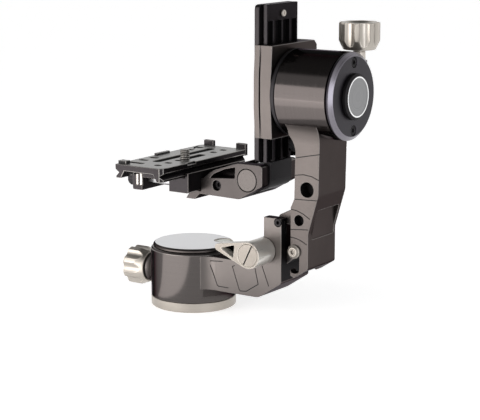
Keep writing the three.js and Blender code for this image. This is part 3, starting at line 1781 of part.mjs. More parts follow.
platform.add(
  mesh("platform_bracket", makeBracket(), gunmetal),
  mesh("platform_hinge_pin", makeHingePin(), steel),
  mesh("hinge_cap_near", makeHingeCap(-1), gunmetal),
  mesh("hinge_cap_far", makeHingeCap(1), gunmetal),
  mesh("bracket_screw_near", makeSocketScrew(-1), blackAnodised),
  mesh("bracket_screw_far", makeSocketScrew(1), blackAnodised),
  mesh("plate_clamp_body", makePlateClampBody(), gunmetal),
  mesh("plate_clamp_jaw", makePlateClampJaw(), gunmetal),
  mesh("plate_clamp_rod", makeClampRod(), steel),
  mesh("jaw_pin_right", jawPin(0, 0), satinSilver),
  mesh("jaw_pin_left", jawPin(1, 0), satinSilver),
  mesh("plate_clamp_knob", makeClampKnob(), blackAnodised),
);

plate.add(
  mesh("quick_release_plate", makePlate(), blackAnodised),
  mesh("left_stop_tab", makeStopTab(-1), blackAnodised),
  mesh("right_stop_tab", makeStopTab(1), blackAnodised),
  mesh("camera_screw", makeCameraScrew(), satinSilver),
  mesh("camera_screw_washer", makeCameraWasher(), steel),
);

export default head;
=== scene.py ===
"""Looks of the folding gimbal tripod head: finishes, fine edges, studio light, floor and camera."""

import json
import math

import bmesh
import bpy
from mathutils import Matrix, Vector

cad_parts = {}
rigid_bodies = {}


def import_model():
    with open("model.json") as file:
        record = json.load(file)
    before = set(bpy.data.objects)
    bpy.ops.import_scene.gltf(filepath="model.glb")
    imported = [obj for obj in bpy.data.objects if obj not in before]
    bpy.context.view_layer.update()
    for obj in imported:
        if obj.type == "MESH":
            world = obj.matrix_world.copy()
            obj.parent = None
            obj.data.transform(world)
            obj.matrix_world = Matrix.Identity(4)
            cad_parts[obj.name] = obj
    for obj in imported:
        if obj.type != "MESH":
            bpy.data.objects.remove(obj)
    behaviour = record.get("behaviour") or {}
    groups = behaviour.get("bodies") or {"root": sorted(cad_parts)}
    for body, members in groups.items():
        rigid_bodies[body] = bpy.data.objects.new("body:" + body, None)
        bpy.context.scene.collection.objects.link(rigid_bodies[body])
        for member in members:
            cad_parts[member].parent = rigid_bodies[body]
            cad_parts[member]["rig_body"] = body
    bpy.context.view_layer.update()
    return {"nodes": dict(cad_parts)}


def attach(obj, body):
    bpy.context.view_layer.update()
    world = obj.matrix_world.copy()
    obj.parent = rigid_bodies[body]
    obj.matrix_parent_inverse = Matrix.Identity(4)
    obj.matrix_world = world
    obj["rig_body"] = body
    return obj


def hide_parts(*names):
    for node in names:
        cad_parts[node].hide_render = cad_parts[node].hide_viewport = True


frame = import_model()

MM = 0.001
SCENE = bpy.context.scene


def box_of(node):
    """The low and the high corner of a CAD node's box, in millimetres."""
    corners = [vertex.co / MM for vertex in frame["nodes"][node].data.vertices]
    low = [min(corner[k] for corner in corners) for k in range(3)]
    high = [max(corner[k] for corner in corners) for k in range(3)]
    return low, high


def middle_of(node):
    low, high = box_of(node)
    return [(low[k] + high[k]) / 2 for k in range(3)]


def reach_of(node):
    """How far a CAD node reaches in y: the radius of a round one on the pan or the tilt axis."""
    return box_of(node)[1][1]


# Sizes of the CAD model that this script tells faces apart with, in millimetres
TILT_HEIGHT = middle_of("tilt_end_cover")[2]
TILT_DRUM_RADIUS = reach_of("tilt_end_cover")
PAN_DRUM_RADIUS = reach_of("pan_housing")
ARM_FACE = 17.5
BLOCK_END = 84.6
GROOVE_DEPTH = 0.5
SIDE_HOLES = ((104.3, 95, 5.1), (98.3, 73.9, 3.6))  # x, z and radius
BADGE_RING_OUTER = 13.3
BADGE_RING_INNER = 12.35
PLATE_MARGIN = 2.5
PLATE_LOW, PLATE_HIGH = box_of("quick_release_plate")
LEVER_SCREW_LOW, LEVER_SCREW_HIGH = box_of("fold_lever_screw")
SLACK = 0.1

# Widths of the rounded edges, in millimetres
TINY_EDGE = 0.1
SCREW_EDGE = 0.15
BUTTON_EDGE = 0.2
FINE_EDGE = 0.3
KNOB_EDGE = 0.4

# How a CAD mesh is cleaned: points this close are one, faces this flat are one
MERGE_DISTANCE = 0.002
FLAT_ANGLE = math.radians(0.5)
SHARP_ANGLE = math.radians(30)
LEVER_SCREW_TURN = 50  # degrees from its place in the CAD model to the photo's

# Axes that turned surfaces are turned about: a point in millimetres and a direction
PAN_AXIS = ((0, 0, 0), "Z")
TILT_AXIS = ((0, 0, TILT_HEIGHT), "X")
HINGE_AXIS = (middle_of("hinge_cap_near"), "Y")

# Scales of the noise, in lumps a metre
CLOUDS = 55
PAPER_GRAIN = 300
GLASS_GRAIN = 900
LATHE_LINES = 1500
BLAST_GRAIN = 2600

# Depths of the relief, in millimetres
BLAST_DEPTH = 0.012
COARSE_DEPTH = 0.02
POLISH_DEPTH = 0.004
RING_DEPTH = 0.003
LATHE_DEPTH = 0.01
DEEP_LATHE_DEPTH = 0.03
THREAD_DEPTH = 0.3
GLASS_DEPTH = 0.002
PAPER_DEPTH = 0.02

# Pitches of the threads, in millimetres
HOLE_PITCH = 1.6
CAMERA_PITCH = 25.4 / 20


# Colours and shader nodes


def colour(red, green, blue):
    """A linear colour from screen values between 0 and 255."""

    def linear(value):
        share = value / 255
        return share / 12.92 if share < 0.04045 else ((share + 0.055) / 1.055) ** 2.4

    return (linear(red), linear(green), linear(blue), 1)


def grey(level):
    return (level, level, level, 1)


def new_finish(name, base, roughness, metallic, glance=grey(1)):
    """A material with one Principled shader, and the tree to add detail to.
    glance is how strongly it mirrors at a glancing angle; anodised metal does less."""
    material = bpy.data.materials.new(name)
    material.use_nodes = True
    tree = material.node_tree
    shader = tree.nodes["Principled BSDF"]
    shader.inputs["Base Color"].default_value = base
    shader.inputs["Roughness"].default_value = roughness
    shader.inputs["Metallic"].default_value = metallic
    shader.inputs["Specular Tint"].default_value = glance
    return material, tree, shader


def add_node(tree, kind, settings=None, **values):
    node = tree.nodes.new(kind)
    for key, value in (settings or {}).items():
        setattr(node, key, value)
    for key, value in values.items():
        node.inputs[key.replace("_", " ")].default_value = value
    return node


def object_coordinates(tree):
    return add_node(tree, "ShaderNodeTexCoord").outputs["Object"]


def noise(tree, coordinates, scale, detail):
    node = add_node(tree, "ShaderNodeTexNoise", Scale=scale, Detail=detail)
    tree.links.new(coordinates, node.inputs["Vector"])
    return node.outputs["Fac"]


def spread(tree, factor, middle, reach):
    """Maps a noise factor, which is mostly between 0.3 and 0.7, to a range about a middle."""
    node = add_node(tree, "ShaderNodeMapRange", From_Min=0.3, From_Max=0.7)
    node.inputs["To Min"].default_value = middle - reach
    node.inputs["To Max"].default_value = middle + reach
    tree.links.new(factor, node.inputs["Value"])
    return node.outputs["Result"]


def blend_colours(tree, factor, first, second):
    node = add_node(tree, "ShaderNodeMix", {"data_type": "RGBA"})
    for key, value in (("A_Color", first), ("B_Color", second)):
        socket = next(s for s in node.inputs if s.identifier == key)
        socket.default_value = value
    tree.links.new(factor, node.inputs["Factor"])
    return next(s for s in node.outputs if s.identifier == "Result_Color")


def add_bump(tree, shader, height, depth):
    node = add_node(tree, "ShaderNodeBump", Strength=1.0, Distance=depth * MM)
    tree.links.new(height, node.inputs["Height"])
    tree.links.new(node.outputs["Normal"], shader.inputs["Normal"])


def calculate(tree, operation, first, second, clamp=False):
    """A Math node whose second input is a number or the output of another node."""
    node = add_node(tree, "ShaderNodeMath", {"operation": operation, "use_clamp": clamp})
    tree.links.new(first, node.inputs[0])
    if isinstance(second, float):
        node.inputs[1].default_value = second
    else:
        tree.links.new(second, node.inputs[1])
    return node.outputs[0]


def turning_coordinates(tree, axis):
    """Coordinates that are the same all the way round an axis, so that noise makes lathe lines."""
    centre, direction = axis
    moved = add_node(tree, "ShaderNodeVectorMath", {"operation": "SUBTRACT"})
    tree.links.new(object_coordinates(tree), moved.inputs[0])
    moved.inputs[1].default_value = [c * MM for c in centre]
    across = add_node(tree, "ShaderNodeVectorMath", {"operation": "MULTIPLY"})
    tree.links.new(moved.outputs["Vector"], across.inputs[0])
    across.inputs[1].default_value = [0 if k == direction else 1 for k in "XYZ"]
    length = add_node(tree, "ShaderNodeVectorMath", {"operation": "LENGTH"})
    tree.links.new(across.outputs["Vector"], length.inputs[0])
    split = add_node(tree, "ShaderNodeSeparateXYZ")
    tree.links.new(moved.outputs["Vector"], split.inputs[0])
    joined = add_node(tree, "ShaderNodeCombineXYZ")
    tree.links.new(length.outputs["Value"], joined.inputs["X"])
    tree.links.new(split.outputs[direction], joined.inputs["Y"])
    return joined.outputs["Vector"]


# Finishes


def blasted(name, dark, light, roughness, metallic, depth=BLAST_DEPTH, glance=grey(1)):
    """Bead-blasted and anodised metal: fine grain, faint clouds in the colour."""
    material, tree, shader = new_finish(name, light, roughness, metallic, glance)
    coordinates = object_coordinates(tree)
    clouds = noise(tree, coordinates, CLOUDS, 4)
    tree.links.new(blend_colours(tree, clouds, dark, light), shader.inputs["Base Color"])
    grain = noise(tree, coordinates, BLAST_GRAIN, 2)
    tree.links.new(spread(tree, grain, roughness, 0.06), shader.inputs["Roughness"])
    add_bump(tree, shader, grain, depth)
    return material


def turned(name, dark, light, roughness, metallic, axis, depth=LATHE_DEPTH, glance=grey(1)):
    """Lathe-turned metal, with fine lines all the way round an axis."""
    material, tree, shader = new_finish(name, light, roughness, metallic, glance)
    lines = noise(tree, turning_coordinates(tree, axis), LATHE_LINES, 4)
    tree.links.new(blend_colours(tree, lines, dark, light), shader.inputs["Base Color"])
    tree.links.new(spread(tree, lines, roughness, 0.07), shader.inputs["Roughness"])
    add_bump(tree, shader, lines, depth)
    return material


def threaded(name, dark, light, pitch, direction):
    """Metal with the rings of a thread along one direction. Its colour runs from dark in the roots
    to light on the crests: painted shade in the thread's roots.
    """
    material, tree, shader = new_finish(name, light, 0.4, 0.8)
    waves_a_metre = math.pi / (10 * pitch * MM)
    settings = {"bands_direction": direction}
    rings = add_node(tree, "ShaderNodeTexWave", settings, Distortion=0.0, Scale=waves_a_metre)
    tree.links.new(object_coordinates(tree), rings.inputs["Vector"])
    height = rings.outputs["Fac"]
    tree.links.new(blend_colours(tree, height, dark, light), shader.inputs["Base Color"])
    add_bump(tree, shader, height, THREAD_DEPTH)
    return material


def glass(name, tint):
    """The clear top of the bubble level."""
    material, tree, shader = new_finish(name, tint, 0.08, 0.0)
    shader.inputs["Transmission Weight"].default_value = 0.3
    add_bump(tree, shader, noise(tree, object_coordinates(tree), GLASS_GRAIN, 2), GLASS_DEPTH)
    return material


ANODISED = {"glance": (0.2, 0.17, 0.2, 1)}

GUNMETAL = blasted(
    "gunmetal_anodised", colour(73, 69, 67), colour(83, 78, 76), 0.36, 0.97, **ANODISED
)
# Painted highlight: a lighter copy of the gunmetal for the rounded edges, standing in for the thin
# highlights the light draws along them.
GUNMETAL_PAINTED_EDGE_HIGHLIGHT = blasted("gunmetal_painted_edge_highlight", colour(107, 102, 100), colour(120, 115, 112), 0.3, 0.97)
HOUSING = blasted(
    "housing_anodised", colour(86, 82, 80), colour(98, 93, 91), 0.36, 0.97, **ANODISED
)
CLAMP_GREY = blasted(
    "clamp_anodised", colour(61, 58, 57), colour(71, 67, 66), 0.36, 0.97, **ANODISED
)
TILT_DRUM = turned(
    "tilt_drum_anodised", colour(62, 58, 57), colour(72, 68, 67), 0.14, 0.97, TILT_AXIS, **ANODISED
)
PAN_DRUM = turned(
    "pan_drum_anodised", colour(74, 70, 69), colour(86, 82, 80), 0.13, 0.97, PAN_AXIS, **ANODISED
)
HINGE_CAP = turned(
    "hinge_cap_turned",
    colour(58, 55, 54),
    colour(88, 84, 82),
    0.3,
    0.97,
    HINGE_AXIS,
    DEEP_LATHE_DEPTH,
)
# Painted shade: a near-black finish for engraved lines and the walls of narrow slots, standing in
# for the shade deep inside them.
GROOVE_PAINTED_SHADE = blasted("groove_painted_shade", colour(5, 5, 5), colour(10, 9, 9), 0.7, 0.0)
BLACK = blasted("black_finish", colour(32, 31, 32), colour(44, 43, 44), 0.38, 0.6, **ANODISED)
# Painted shade: the elbow block's end face and the tongue in its slot are near black, for the shade
# in the narrow slot.
SLOT_PAINTED_SHADE = blasted("slot_painted_shade", colour(14, 13, 14), colour(24, 23, 24), 0.45, 0.6, **ANODISED)
RAIL_BLACK = blasted(
    "rail_anodised", colour(38, 36, 37), colour(48, 46, 47), 0.32, 0.85, **ANODISED
)
# Painted highlight: a much lighter copy of the plate's black for the rounded edges of the plate and
# its stop tabs, standing in for the bright lines along them.
PAINTED_EDGE_HIGHLIGHT = blasted("painted_edge_highlight", colour(128, 125, 122), colour(144, 141, 138), 0.3, 0.95)
SILVER = blasted("satin_silver", colour(190, 183, 174), colour(208, 201, 192), 0.52, 0.6)
# Painted highlight: a near-white copy of the satin silver; the two steel jaw pins wear it, so that
# they show as bright lines.
PAINTED_GLINT_SILVER = blasted("painted_glint_silver", colour(222, 217, 210), colour(234, 230, 224), 0.4, 0.7)
KNOB_SILVER = blasted("knob_silver", colour(160, 154, 146), colour(182, 176, 168), 0.36, 0.95)
# Painted shade: a darker copy of the lever's silver for its faces that look towards -Y, the key's
# side, while its sides keep the lighter copy below. The fold's pivot screws wear this darker copy
# too.
LEVER_PAINTED_SHADE_SILVER = blasted(
    "lever_painted_shade_face", colour(120, 115, 109), colour(142, 136, 129), 0.5, 0.9, COARSE_DEPTH
)
LEVER_SIDE = blasted("lever_side", colour(228, 224, 217), colour(238, 235, 229), 0.36, 0.8)
BASE_SILVER = turned(
    "base_ring_silver", colour(140, 134, 127), colour(186, 179, 170), 0.36, 0.9, PAN_AXIS
)
PALE_DISC = turned(
    "pale_disc", colour(212, 212, 214), colour(226, 226, 228), 0.34, 0.9, PAN_AXIS, POLISH_DEPTH
)
# Painted sheen: the plate's top faces get a much lighter copy of its black, standing in for the
# sheen of dark metal seen at a low angle.
PLATE_TOP_PAINTED_SHEEN = blasted("plate_painted_light_face", colour(122, 121, 119), colour(140, 139, 137), 0.34, 0.85)
COVER = turned("cover_disc", colour(42, 40, 44), colour(50, 47, 52), 0.36, 0.95, TILT_AXIS)
# Painted highlight: the cover's chamfer gets a lighter copy of its dark finish, for the bright band
# that light draws on it.
COVER_CHAMFER_PAINTED_SHEEN = turned(
    "cover_chamfer_painted_sheen", colour(112, 109, 115), colour(124, 120, 127), 0.3, 0.95, TILT_AXIS
)
BADGE_CENTRE = turned(
    "badge_centre", colour(112, 112, 113), colour(150, 150, 151), 0.38, 0.9, TILT_AXIS, COARSE_DEPTH
)
BADGE_RING = blasted(
    "badge_ring", colour(238, 238, 238), colour(246, 246, 246), 0.3, 1.0, RING_DEPTH
)
STEEL = blasted("steel", colour(150, 150, 152), colour(176, 176, 178), 0.3, 1.0, POLISH_DEPTH)
BRASS = blasted("brass", colour(176, 141, 74), colour(196, 160, 92), 0.35, 1.0, POLISH_DEPTH)
PLASTIC = blasted("plastic", colour(34, 34, 36), colour(46, 46, 48), 0.55, 0.0, COARSE_DEPTH)
# Painted shade: the side holes' threads are near black, for the shade deep in the holes.
HOLE_THREAD_PAINTED_SHADE = threaded("hole_thread_painted_shade", colour(8, 8, 8), colour(40, 38, 38), HOLE_PITCH, "Y")
# Painted shade: dark thread roots between crests of the steel's colour.
SCREW_THREAD_PAINTED_SHADE = threaded(
    "screw_thread_painted_shade", colour(22, 21, 20), colour(176, 172, 166), CAMERA_PITCH, "Z"
)
LEVEL_GLASS = glass("level_glass", colour(222, 226, 214))


# Pieces


def clean(solid):
    """Joins double points and makes each flat face one face."""
    bmesh.ops.remove_doubles(solid, verts=solid.verts, dist=MERGE_DISTANCE * MM)
    bmesh.ops.dissolve_limit(
        solid, angle_limit=FLAT_ANGLE, verts=solid.verts, edges=solid.edges
    )


def mark_edges(solid, keep_sharp):
    """Marks the outer edges that get rounded, all but those of the faces that keep_sharp tells."""
    weights = solid.edges.layers.float.new("bevel_weight_edge")
    for line in solid.edges:
        sharp = line.is_manifold and line.is_convex and line.calc_face_angle() > SHARP_ANGLE
        kept = keep_sharp and any(keep_sharp(face) for face in line.link_faces)
        line[weights] = 1.0 if sharp and not kept else 0.0


def finish_faces(solid, base, choose):
    """Gives each face its material, and returns the list of the materials in use."""
    materials = [base]
    for face in solid.faces:
        chosen = choose(face, face.calc_center_median() / MM, face.normal) if choose else None
        if chosen and chosen not in materials:
            materials.append(chosen)
        face.material_index = materials.index(chosen or base)
        face.smooth = True
    return materials


def round_edges(piece, width, material_index):
    rounding = piece.modifiers.new("rounded edges", "BEVEL")
    rounding.width = width * MM
    rounding.segments = 2
    rounding.limit_method = "WEIGHT"
    rounding.use_clamp_overlap = False
    rounding.miter_outer = "MITER_ARC"
    rounding.material = material_index


def refine(node, base, edge=None, width=FINE_EDGE, choose=None, keep_sharp=None, turn=0):
    """Stands for a CAD node: flat faces made whole, edges rounded, curved faces smooth.
    base is the piece's material and edge that of its rounded edges, which have a width in
    millimetres. choose gives a face that differs its own material, from the face, its middle
    and its direction; turn turns a round piece about its own Y axis, in degrees."""
    mesh = frame["nodes"][node].data.copy()
    mesh.name = node + "_fine"
    piece = bpy.data.objects.new(node + "_fine", mesh)
    SCENE.collection.objects.link(piece)
    solid = bmesh.new()
    solid.from_mesh(mesh)
    if turn:
        pivot = Vector(middle_of(node)) * MM
        around = Matrix.Rotation(math.radians(turn), 3, "Y")
        bmesh.ops.rotate(solid, cent=pivot, matrix=around, verts=solid.verts)
    clean(solid)
    mark_edges(solid, keep_sharp)
    materials = finish_faces(solid, base, choose)
    if edge and edge not in materials:
        materials.append(edge)
    mesh.materials.clear()
    for material in materials:
        mesh.materials.append(material)
    solid.to_mesh(mesh)
    solid.free()
    mesh.set_sharp_from_angle(angle=SHARP_ANGLE)
    # The edge material is mostly a lighter copy of the piece's finish: painted highlight along the
    # rounded edges.
    round_edges(piece, width, materials.index(edge) if edge else -1)
    shading = piece.modifiers.new("flat faces stay flat", "WEIGHTED_NORMAL")
    shading.keep_sharp = True
    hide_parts(node)
    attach(piece, frame["nodes"][node]["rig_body"])


def paint(node, material):
    """A CAD node that keeps its shape and gets a better finish."""
    mesh = frame["nodes"][node].data
    for index in range(len(mesh.materials)):
        mesh.materials[index] = material


# Faces that differ from the rest of their piece


def from_tilt_axis(face):
    return [math.hypot(v.co.y / MM, v.co.z / MM - TILT_HEIGHT) for v in face.verts]


def in_groove(face):
    """True for the floor and the walls of a line engraved in an arm's side faces."""
    depths = [abs(corner.co.y) / MM for corner in face.verts]
    return min(depths) < ARM_FACE - GROOVE_DEPTH / 2 and min(depths) > ARM_FACE - 2 * GROOVE_DEPTH


def in_side_hole(face):
    return any(
        all(math.hypot(v.co.x / MM - x, v.co.z / MM - z) < radius + SLACK for v in face.verts)
        for x, z, radius in SIDE_HOLES
    )


def on_tilt_drum(face):
    reach = from_tilt_axis(face)
    return max(abs(r - TILT_DRUM_RADIUS) for r in reach) < SLACK and abs(face.normal.x) < 0.5


def sharp_on_upright(face):
    return in_groove(face) or on_tilt_drum(face)


def upright_face(face, centre, normal):
    if on_tilt_drum(face):
        return TILT_DRUM
    # Painted shade: the walls of the side holes get the near-black thread.
    if in_side_hole(face):
        return HOLE_THREAD_PAINTED_SHADE
    # Painted shade: the engraved lines are near black.
    return GROOVE_PAINTED_SHADE if in_groove(face) else None


def housing_face(face, centre, normal):
    from_pan_axis = max(math.hypot(v.co.x, v.co.y) / MM for v in face.verts)
    if abs(from_pan_axis - PAN_DRUM_RADIUS) < SLACK and abs(normal.z) < 0.5:
        return PAN_DRUM
    # Painted shade: the faces past the block's end, in the slot, are near black.
    if min(v.co.x for v in face.verts) / MM > BLOCK_END - SLACK:
        return SLOT_PAINTED_SHADE
    # Painted shade: the engraved lines are near black.
    return GROOVE_PAINTED_SHADE if in_groove(face) else None


def cover_face(face, centre, normal):
    # Painted highlight: the chamfer faces get the lighter copy of the cover's finish.
    return COVER_CHAMFER_PAINTED_SHEEN if 0.3 < normal.x < 0.9 else None


def badge_face(face, centre, normal):
    reach = max(from_tilt_axis(face))
    if normal.x < 0.5 or reach > BADGE_RING_OUTER + SLACK:
        return None
    return BADGE_RING if reach > BADGE_RING_INNER + SLACK else BADGE_CENTRE


def cap_face(face, centre, normal):
    return None if normal.z > 0.9 else GUNMETAL


# Painted shade: the lever's faces towards -Y get the darker copy of its silver.
def lever_painted_shade_face(face, centre, normal):
    return LEVER_PAINTED_SHADE_SILVER if normal.y < -0.7 else None


def lever_screw_face(face, centre, normal):
    middle = middle_of("fold_lever_screw")
    radius = (LEVER_SCREW_HIGH[0] - LEVER_SCREW_LOW[0]) / 2
    from_middle = math.hypot(centre.x - middle[0], centre.z - middle[2])
    if centre.y > LEVER_SCREW_LOW[1] + SLACK and from_middle < 0.9 * radius:
        # Painted shade: the recess in the screw's head is near black.
        return GROOVE_PAINTED_SHADE
    return lever_painted_shade_face(face, centre, normal)


def plate_painted_light_face(face, centre, normal):
    # Painted sheen on the top faces, painted shade on the slot walls inside.
    if normal.z > 0.9:
        return PLATE_TOP_PAINTED_SHEEN
    near, far = PLATE_LOW[1] + PLATE_MARGIN, PLATE_HIGH[1] - PLATE_MARGIN
    inside = abs(centre.x) < PLATE_HIGH[0] - PLATE_MARGIN and near < centre.y < far
    # Painted shade: the walls of the slots inside the plate are near black.
    return GROOVE_PAINTED_SHADE if inside and abs(normal.z) < 0.3 else None


def finish_hidden_pieces():
    """Inner pieces and fasteners that keep their CAD shape and only get a finish."""
    steel = (
        "pan_spindle",
        "lower_pan_bearing",
        "upper_pan_bearing",
        "pan_spindle_nut",
        "fold_clamp_bolt",
        "fold_clamp_nut",
        "inner_tilt_bearing",
        "outer_tilt_bearing",
        "tilt_shaft",
        "rail_clamp_screw_1",
        "rail_clamp_screw_2",
        "platform_hinge_pin",
        "plate_clamp_rod",
    )
    for node in steel:
        paint(node, STEEL)
    for node in ("pan_brake_shoe", "fold_pivot_bush", "tilt_brake_plug"):
        paint(node, BRASS)


def finish_base():
    refine("base_ring", BASE_SILVER)
    refine("pan_housing", HOUSING, GUNMETAL_PAINTED_EDGE_HIGHLIGHT, choose=housing_face, keep_sharp=in_groove)
    refine("pan_top_cap", PALE_DISC, choose=cap_face)
    refine("bubble_level_cup", SILVER, width=TINY_EDGE)
    refine("bubble_level_glass", LEVEL_GLASS, width=SCREW_EDGE)
    # Its rounded edges get the lighter satin silver, a painted highlight.
    refine("pan_lock_knob", KNOB_SILVER, SILVER, KNOB_EDGE)
    refine("pan_lock_stud", BLACK)


def finish_fold():
    refine("fold_lever", LEVER_SIDE, SILVER, KNOB_EDGE, choose=lever_painted_shade_face)
    refine(
        "fold_lever_screw",
        LEVER_SIDE,
        SILVER,
        SCREW_EDGE,
        choose=lever_screw_face,
        turn=LEVER_SCREW_TURN,
    )
    refine("elbow_stop_screw", BLACK, width=SCREW_EDGE)
    # The pivot screws wear the lever's darker silver, with the lighter satin silver on their
    # rounded edges as a painted highlight.
    refine("fold_pivot_screw_near", LEVER_PAINTED_SHADE_SILVER, SILVER, BUTTON_EDGE)
    refine("fold_pivot_screw_far", LEVER_PAINTED_SHADE_SILVER, SILVER, BUTTON_EDGE)


def finish_upright():
    refine("upright_arm", GUNMETAL, GUNMETAL_PAINTED_EDGE_HIGHLIGHT, choose=upright_face, keep_sharp=sharp_on_upright)
    refine("tilt_end_cover", COVER, choose=cover_face)
    refine("tilt_cover_badge", BLACK, width=TINY_EDGE, choose=badge_face)
    refine("tilt_lock_collar", SILVER)
    # Its rounded edges get the lighter satin silver, a painted highlight.
    refine("tilt_lock_knob", KNOB_SILVER, SILVER, KNOB_EDGE)
    refine("tilt_lock_stud", SILVER, width=SCREW_EDGE)
    refine("tilt_cover_screw_1", BLACK, width=TINY_EDGE)
    refine("tilt_cover_screw_2", BLACK, width=TINY_EDGE)


def finish_rail():
    refine("tilt_flange", BLACK)
    refine("rail_clamp_body", GUNMETAL, GUNMETAL_PAINTED_EDGE_HIGHLIGHT)
    refine("rail_clamp_jaw", GUNMETAL, GUNMETAL_PAINTED_EDGE_HIGHLIGHT)
    refine("rail_clamp_knob", BLACK)
    refine("swing_rail", RAIL_BLACK)
    refine("upper_stop_screw", SILVER, width=SCREW_EDGE)
    refine("rail_bumper", PLASTIC)
    refine("rail_foot", BLACK)


def finish_platform():
    refine("platform_bracket", CLAMP_GREY, GUNMETAL_PAINTED_EDGE_HIGHLIGHT)
    refine("hinge_cap_near", HINGE_CAP)
    refine("hinge_cap_far", HINGE_CAP)
    refine("bracket_screw_near", BLACK, width=SCREW_EDGE)
    refine("bracket_screw_far", BLACK, width=SCREW_EDGE)
    refine("plate_clamp_body", RAIL_BLACK, GUNMETAL_PAINTED_EDGE_HIGHLIGHT)
    refine("plate_clamp_jaw", RAIL_BLACK, GUNMETAL_PAINTED_EDGE_HIGHLIGHT)
    # Painted highlight: the jaw pins are painted near white.
    refine("jaw_pin_right", PAINTED_GLINT_SILVER, width=SCREW_EDGE)
    refine("jaw_pin_left", PAINTED_GLINT_SILVER, width=SCREW_EDGE)
    refine("plate_clamp_knob", BLACK)


def finish_plate():
    refine("quick_release_plate", RAIL_BLACK, PAINTED_EDGE_HIGHLIGHT, choose=plate_painted_light_face)
    refine("left_stop_tab", RAIL_BLACK, PAINTED_EDGE_HIGHLIGHT)
    refine("right_stop_tab", RAIL_BLACK, PAINTED_EDGE_HIGHLIGHT)
    refine("camera_screw_washer", STEEL, width=TINY_EDGE)
    refine("camera_screw", SCREW_THREAD_PAINTED_SHADE, width=BUTTON_EDGE)


# Floor, world, lamps and camera. From here lengths are in metres, as Blender has them.

FLOOR_HALF = 15
FLOOR_DROP = 0.0002  # below the base, so that the two faces don't fight
FLOOR_LIFT = 0.7  # what the floor gives of its own in mirrors and glass
FLOOR_VIEW_SHARE = 0.8  # of it in plain view, where the shadow has to show
SKY_LEVELS = ((0.0, 1.0), (0.32, 1.0), (0.42, 0.9), (0.66, 0.9), (0.72, 0.1))  # height and level
WARM_WHITE = (1, 0.965, 0.945)
COOL_WHITE = (0.93, 0.95, 1)
UPWARD = 90
KEY_AZIMUTH = -21
KEY_PLACE = (-0.229, -0.7, 0.22)
KEY_WIDTH = 0.8
KEY_HEIGHT = 0.44
KEY_BRIGHTNESS = 3.5
EDGE_AZIMUTH = 67
EDGE_PLACE = (0.73, -0.293, 0.24)
EDGE_WIDTH = 0.24
EDGE_HEIGHT = 0.48
EDGE_BRIGHTNESS = 3.6
CARD_AZIMUTH = -49  # along the left edge of the bright band on the pan drum
CARDS = (  # name, place, width, length and brightness
    ("near_card", (-0.035, -0.189, 0.002), 0.24, 0.2, 2.0),
    ("middle_card", (-0.28, -0.402, 0.002), 0.24, 0.45, 3.5),
    ("far_card", (-0.173, -0.601, 0.002), 0.2, 0.45, 3.5),
)
SENSOR_WIDTH = 36
LENS = 121


def make_floor():
    material, tree, shader = new_finish("floor_paper", colour(236, 236, 236), 0.9, 0.0)
    grain = noise(tree, object_coordinates(tree), PAPER_GRAIN, 3)
    add_bump(tree, shader, grain, PAPER_DEPTH)
    rays = add_node(tree, "ShaderNodeLightPath").outputs
    in_view = calculate(tree, "MULTIPLY", rays["Is Camera Ray"], FLOOR_VIEW_SHARE)
    seen = calculate(tree, "ADD", in_view, rays["Is Glossy Ray"])
    seen = calculate(tree, "ADD", seen, rays["Is Transmission Ray"], clamp=True)
    lift = calculate(tree, "MULTIPLY", seen, FLOOR_LIFT)
    tree.links.new(lift, shader.inputs["Emission Strength"])
    shader.inputs["Emission Color"].default_value = grey(1)
    mesh = bpy.data.meshes.new("floor")
    corners = [(x * FLOOR_HALF, y * FLOOR_HALF, 0) for x, y in ((-1, -1), (1, -1), (1, 1), (-1, 1))]
    mesh.from_pydata(corners, [], [(0, 1, 2, 3)])
    mesh.materials.append(material)
    floor = bpy.data.objects.new("floor", mesh)
    floor.location.z = -FLOOR_DROP
    SCENE.collection.objects.link(floor)


def make_world():
    """A white sweep up to above the horizon, under a dim ceiling."""
    world = bpy.data.worlds.new("studio")
    SCENE.world = world
    world.use_nodes = True
    tree = world.node_tree
    direction = add_node(tree, "ShaderNodeTexCoord").outputs["Generated"]
    split = add_node(tree, "ShaderNodeSeparateXYZ")
    tree.links.new(direction, split.inputs[0])
    ramp = add_node(tree, "ShaderNodeValToRGB")
    stops = ramp.color_ramp.elements
    while len(stops) < len(SKY_LEVELS):
        stops.new(1.0)
    for stop, (height, level) in zip(stops, SKY_LEVELS):
        stop.position = height
        stop.color = grey(level)
    tree.links.new(split.outputs["Z"], ramp.inputs[0])
    tree.links.new(ramp.outputs["Color"], tree.nodes["Background"].inputs["Color"])


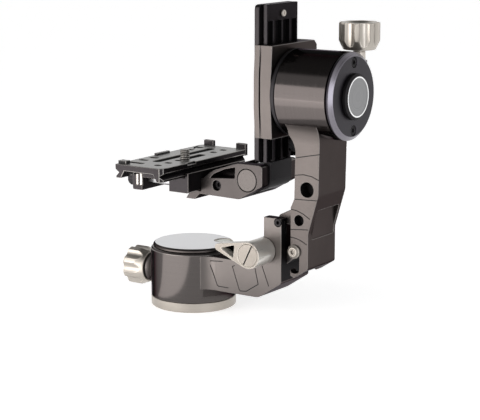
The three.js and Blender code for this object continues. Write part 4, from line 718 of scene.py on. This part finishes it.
def softbox(name, azimuth, place, width, tall, brightness, tint, lean=0):
    """A soft lamp that shines from an azimuth: 0 is the -Y side, 90 the +X side.
    brightness 1 is the white of the floor; lean 0 shines level, lean 90 straight up."""
    turn, back = math.radians(azimuth), math.radians(lean)
    data = bpy.data.lights.new(name, "AREA")
    data.shape = "RECTANGLE"
    data.size = width
    data.size_y = tall
    data.energy = math.pi * brightness * width * tall
    data.color = tint
    outward = Vector((math.sin(turn), -math.cos(turn), 0))
    aside = Vector((math.cos(turn), math.sin(turn), 0))
    rear = outward * math.cos(back) - Vector((0, 0, 1)) * math.sin(back)
    facing = Matrix((aside, rear.cross(aside), rear)).transposed().to_4x4()
    lamp = bpy.data.objects.new(name, data)
    lamp.matrix_world = Matrix.Translation(place) @ facing
    SCENE.collection.objects.link(lamp)


def make_lamps():
    """A key, an edge lamp, and cards that lie face up on the floor to show in the upright faces."""
    softbox("key", KEY_AZIMUTH, KEY_PLACE, KEY_WIDTH, KEY_HEIGHT, KEY_BRIGHTNESS, WARM_WHITE)
    for name, place, width, length, brightness in CARDS:
        softbox(name, CARD_AZIMUTH, place, width, length, brightness, WARM_WHITE, UPWARD)
    softbox("edge", EDGE_AZIMUTH, EDGE_PLACE, EDGE_WIDTH, EDGE_HEIGHT, EDGE_BRIGHTNESS, COOL_WHITE)


def make_camera():
    """The photo's camera: its angle, distance and frame, solved from points of the photo."""
    azimuth, elevation = math.radians(34.26), math.radians(11.46)
    distance = 1.10914
    target = Vector((0.0396, 0, 0.0714))
    run = math.cos(elevation)
    back = Vector((math.sin(azimuth) * run, -math.cos(azimuth) * run, math.sin(elevation)))
    right = Vector((math.cos(azimuth), math.sin(azimuth), 0))
    data = bpy.data.cameras.new("camera")
    data.sensor_width = SENSOR_WIDTH
    data.lens = LENS
    camera = bpy.data.objects.new("camera", data)
    facing = Matrix((right, back.cross(right), back)).transposed().to_4x4()
    camera.matrix_world = Matrix.Translation(target + back * distance) @ facing
    SCENE.collection.objects.link(camera)
    SCENE.camera = camera


finish_hidden_pieces()
finish_base()
finish_fold()
finish_upright()
finish_rail()
finish_platform()
finish_plate()
make_floor()
make_world()
make_lamps()
make_camera()
SCENE.view_settings.view_transform = "Standard"
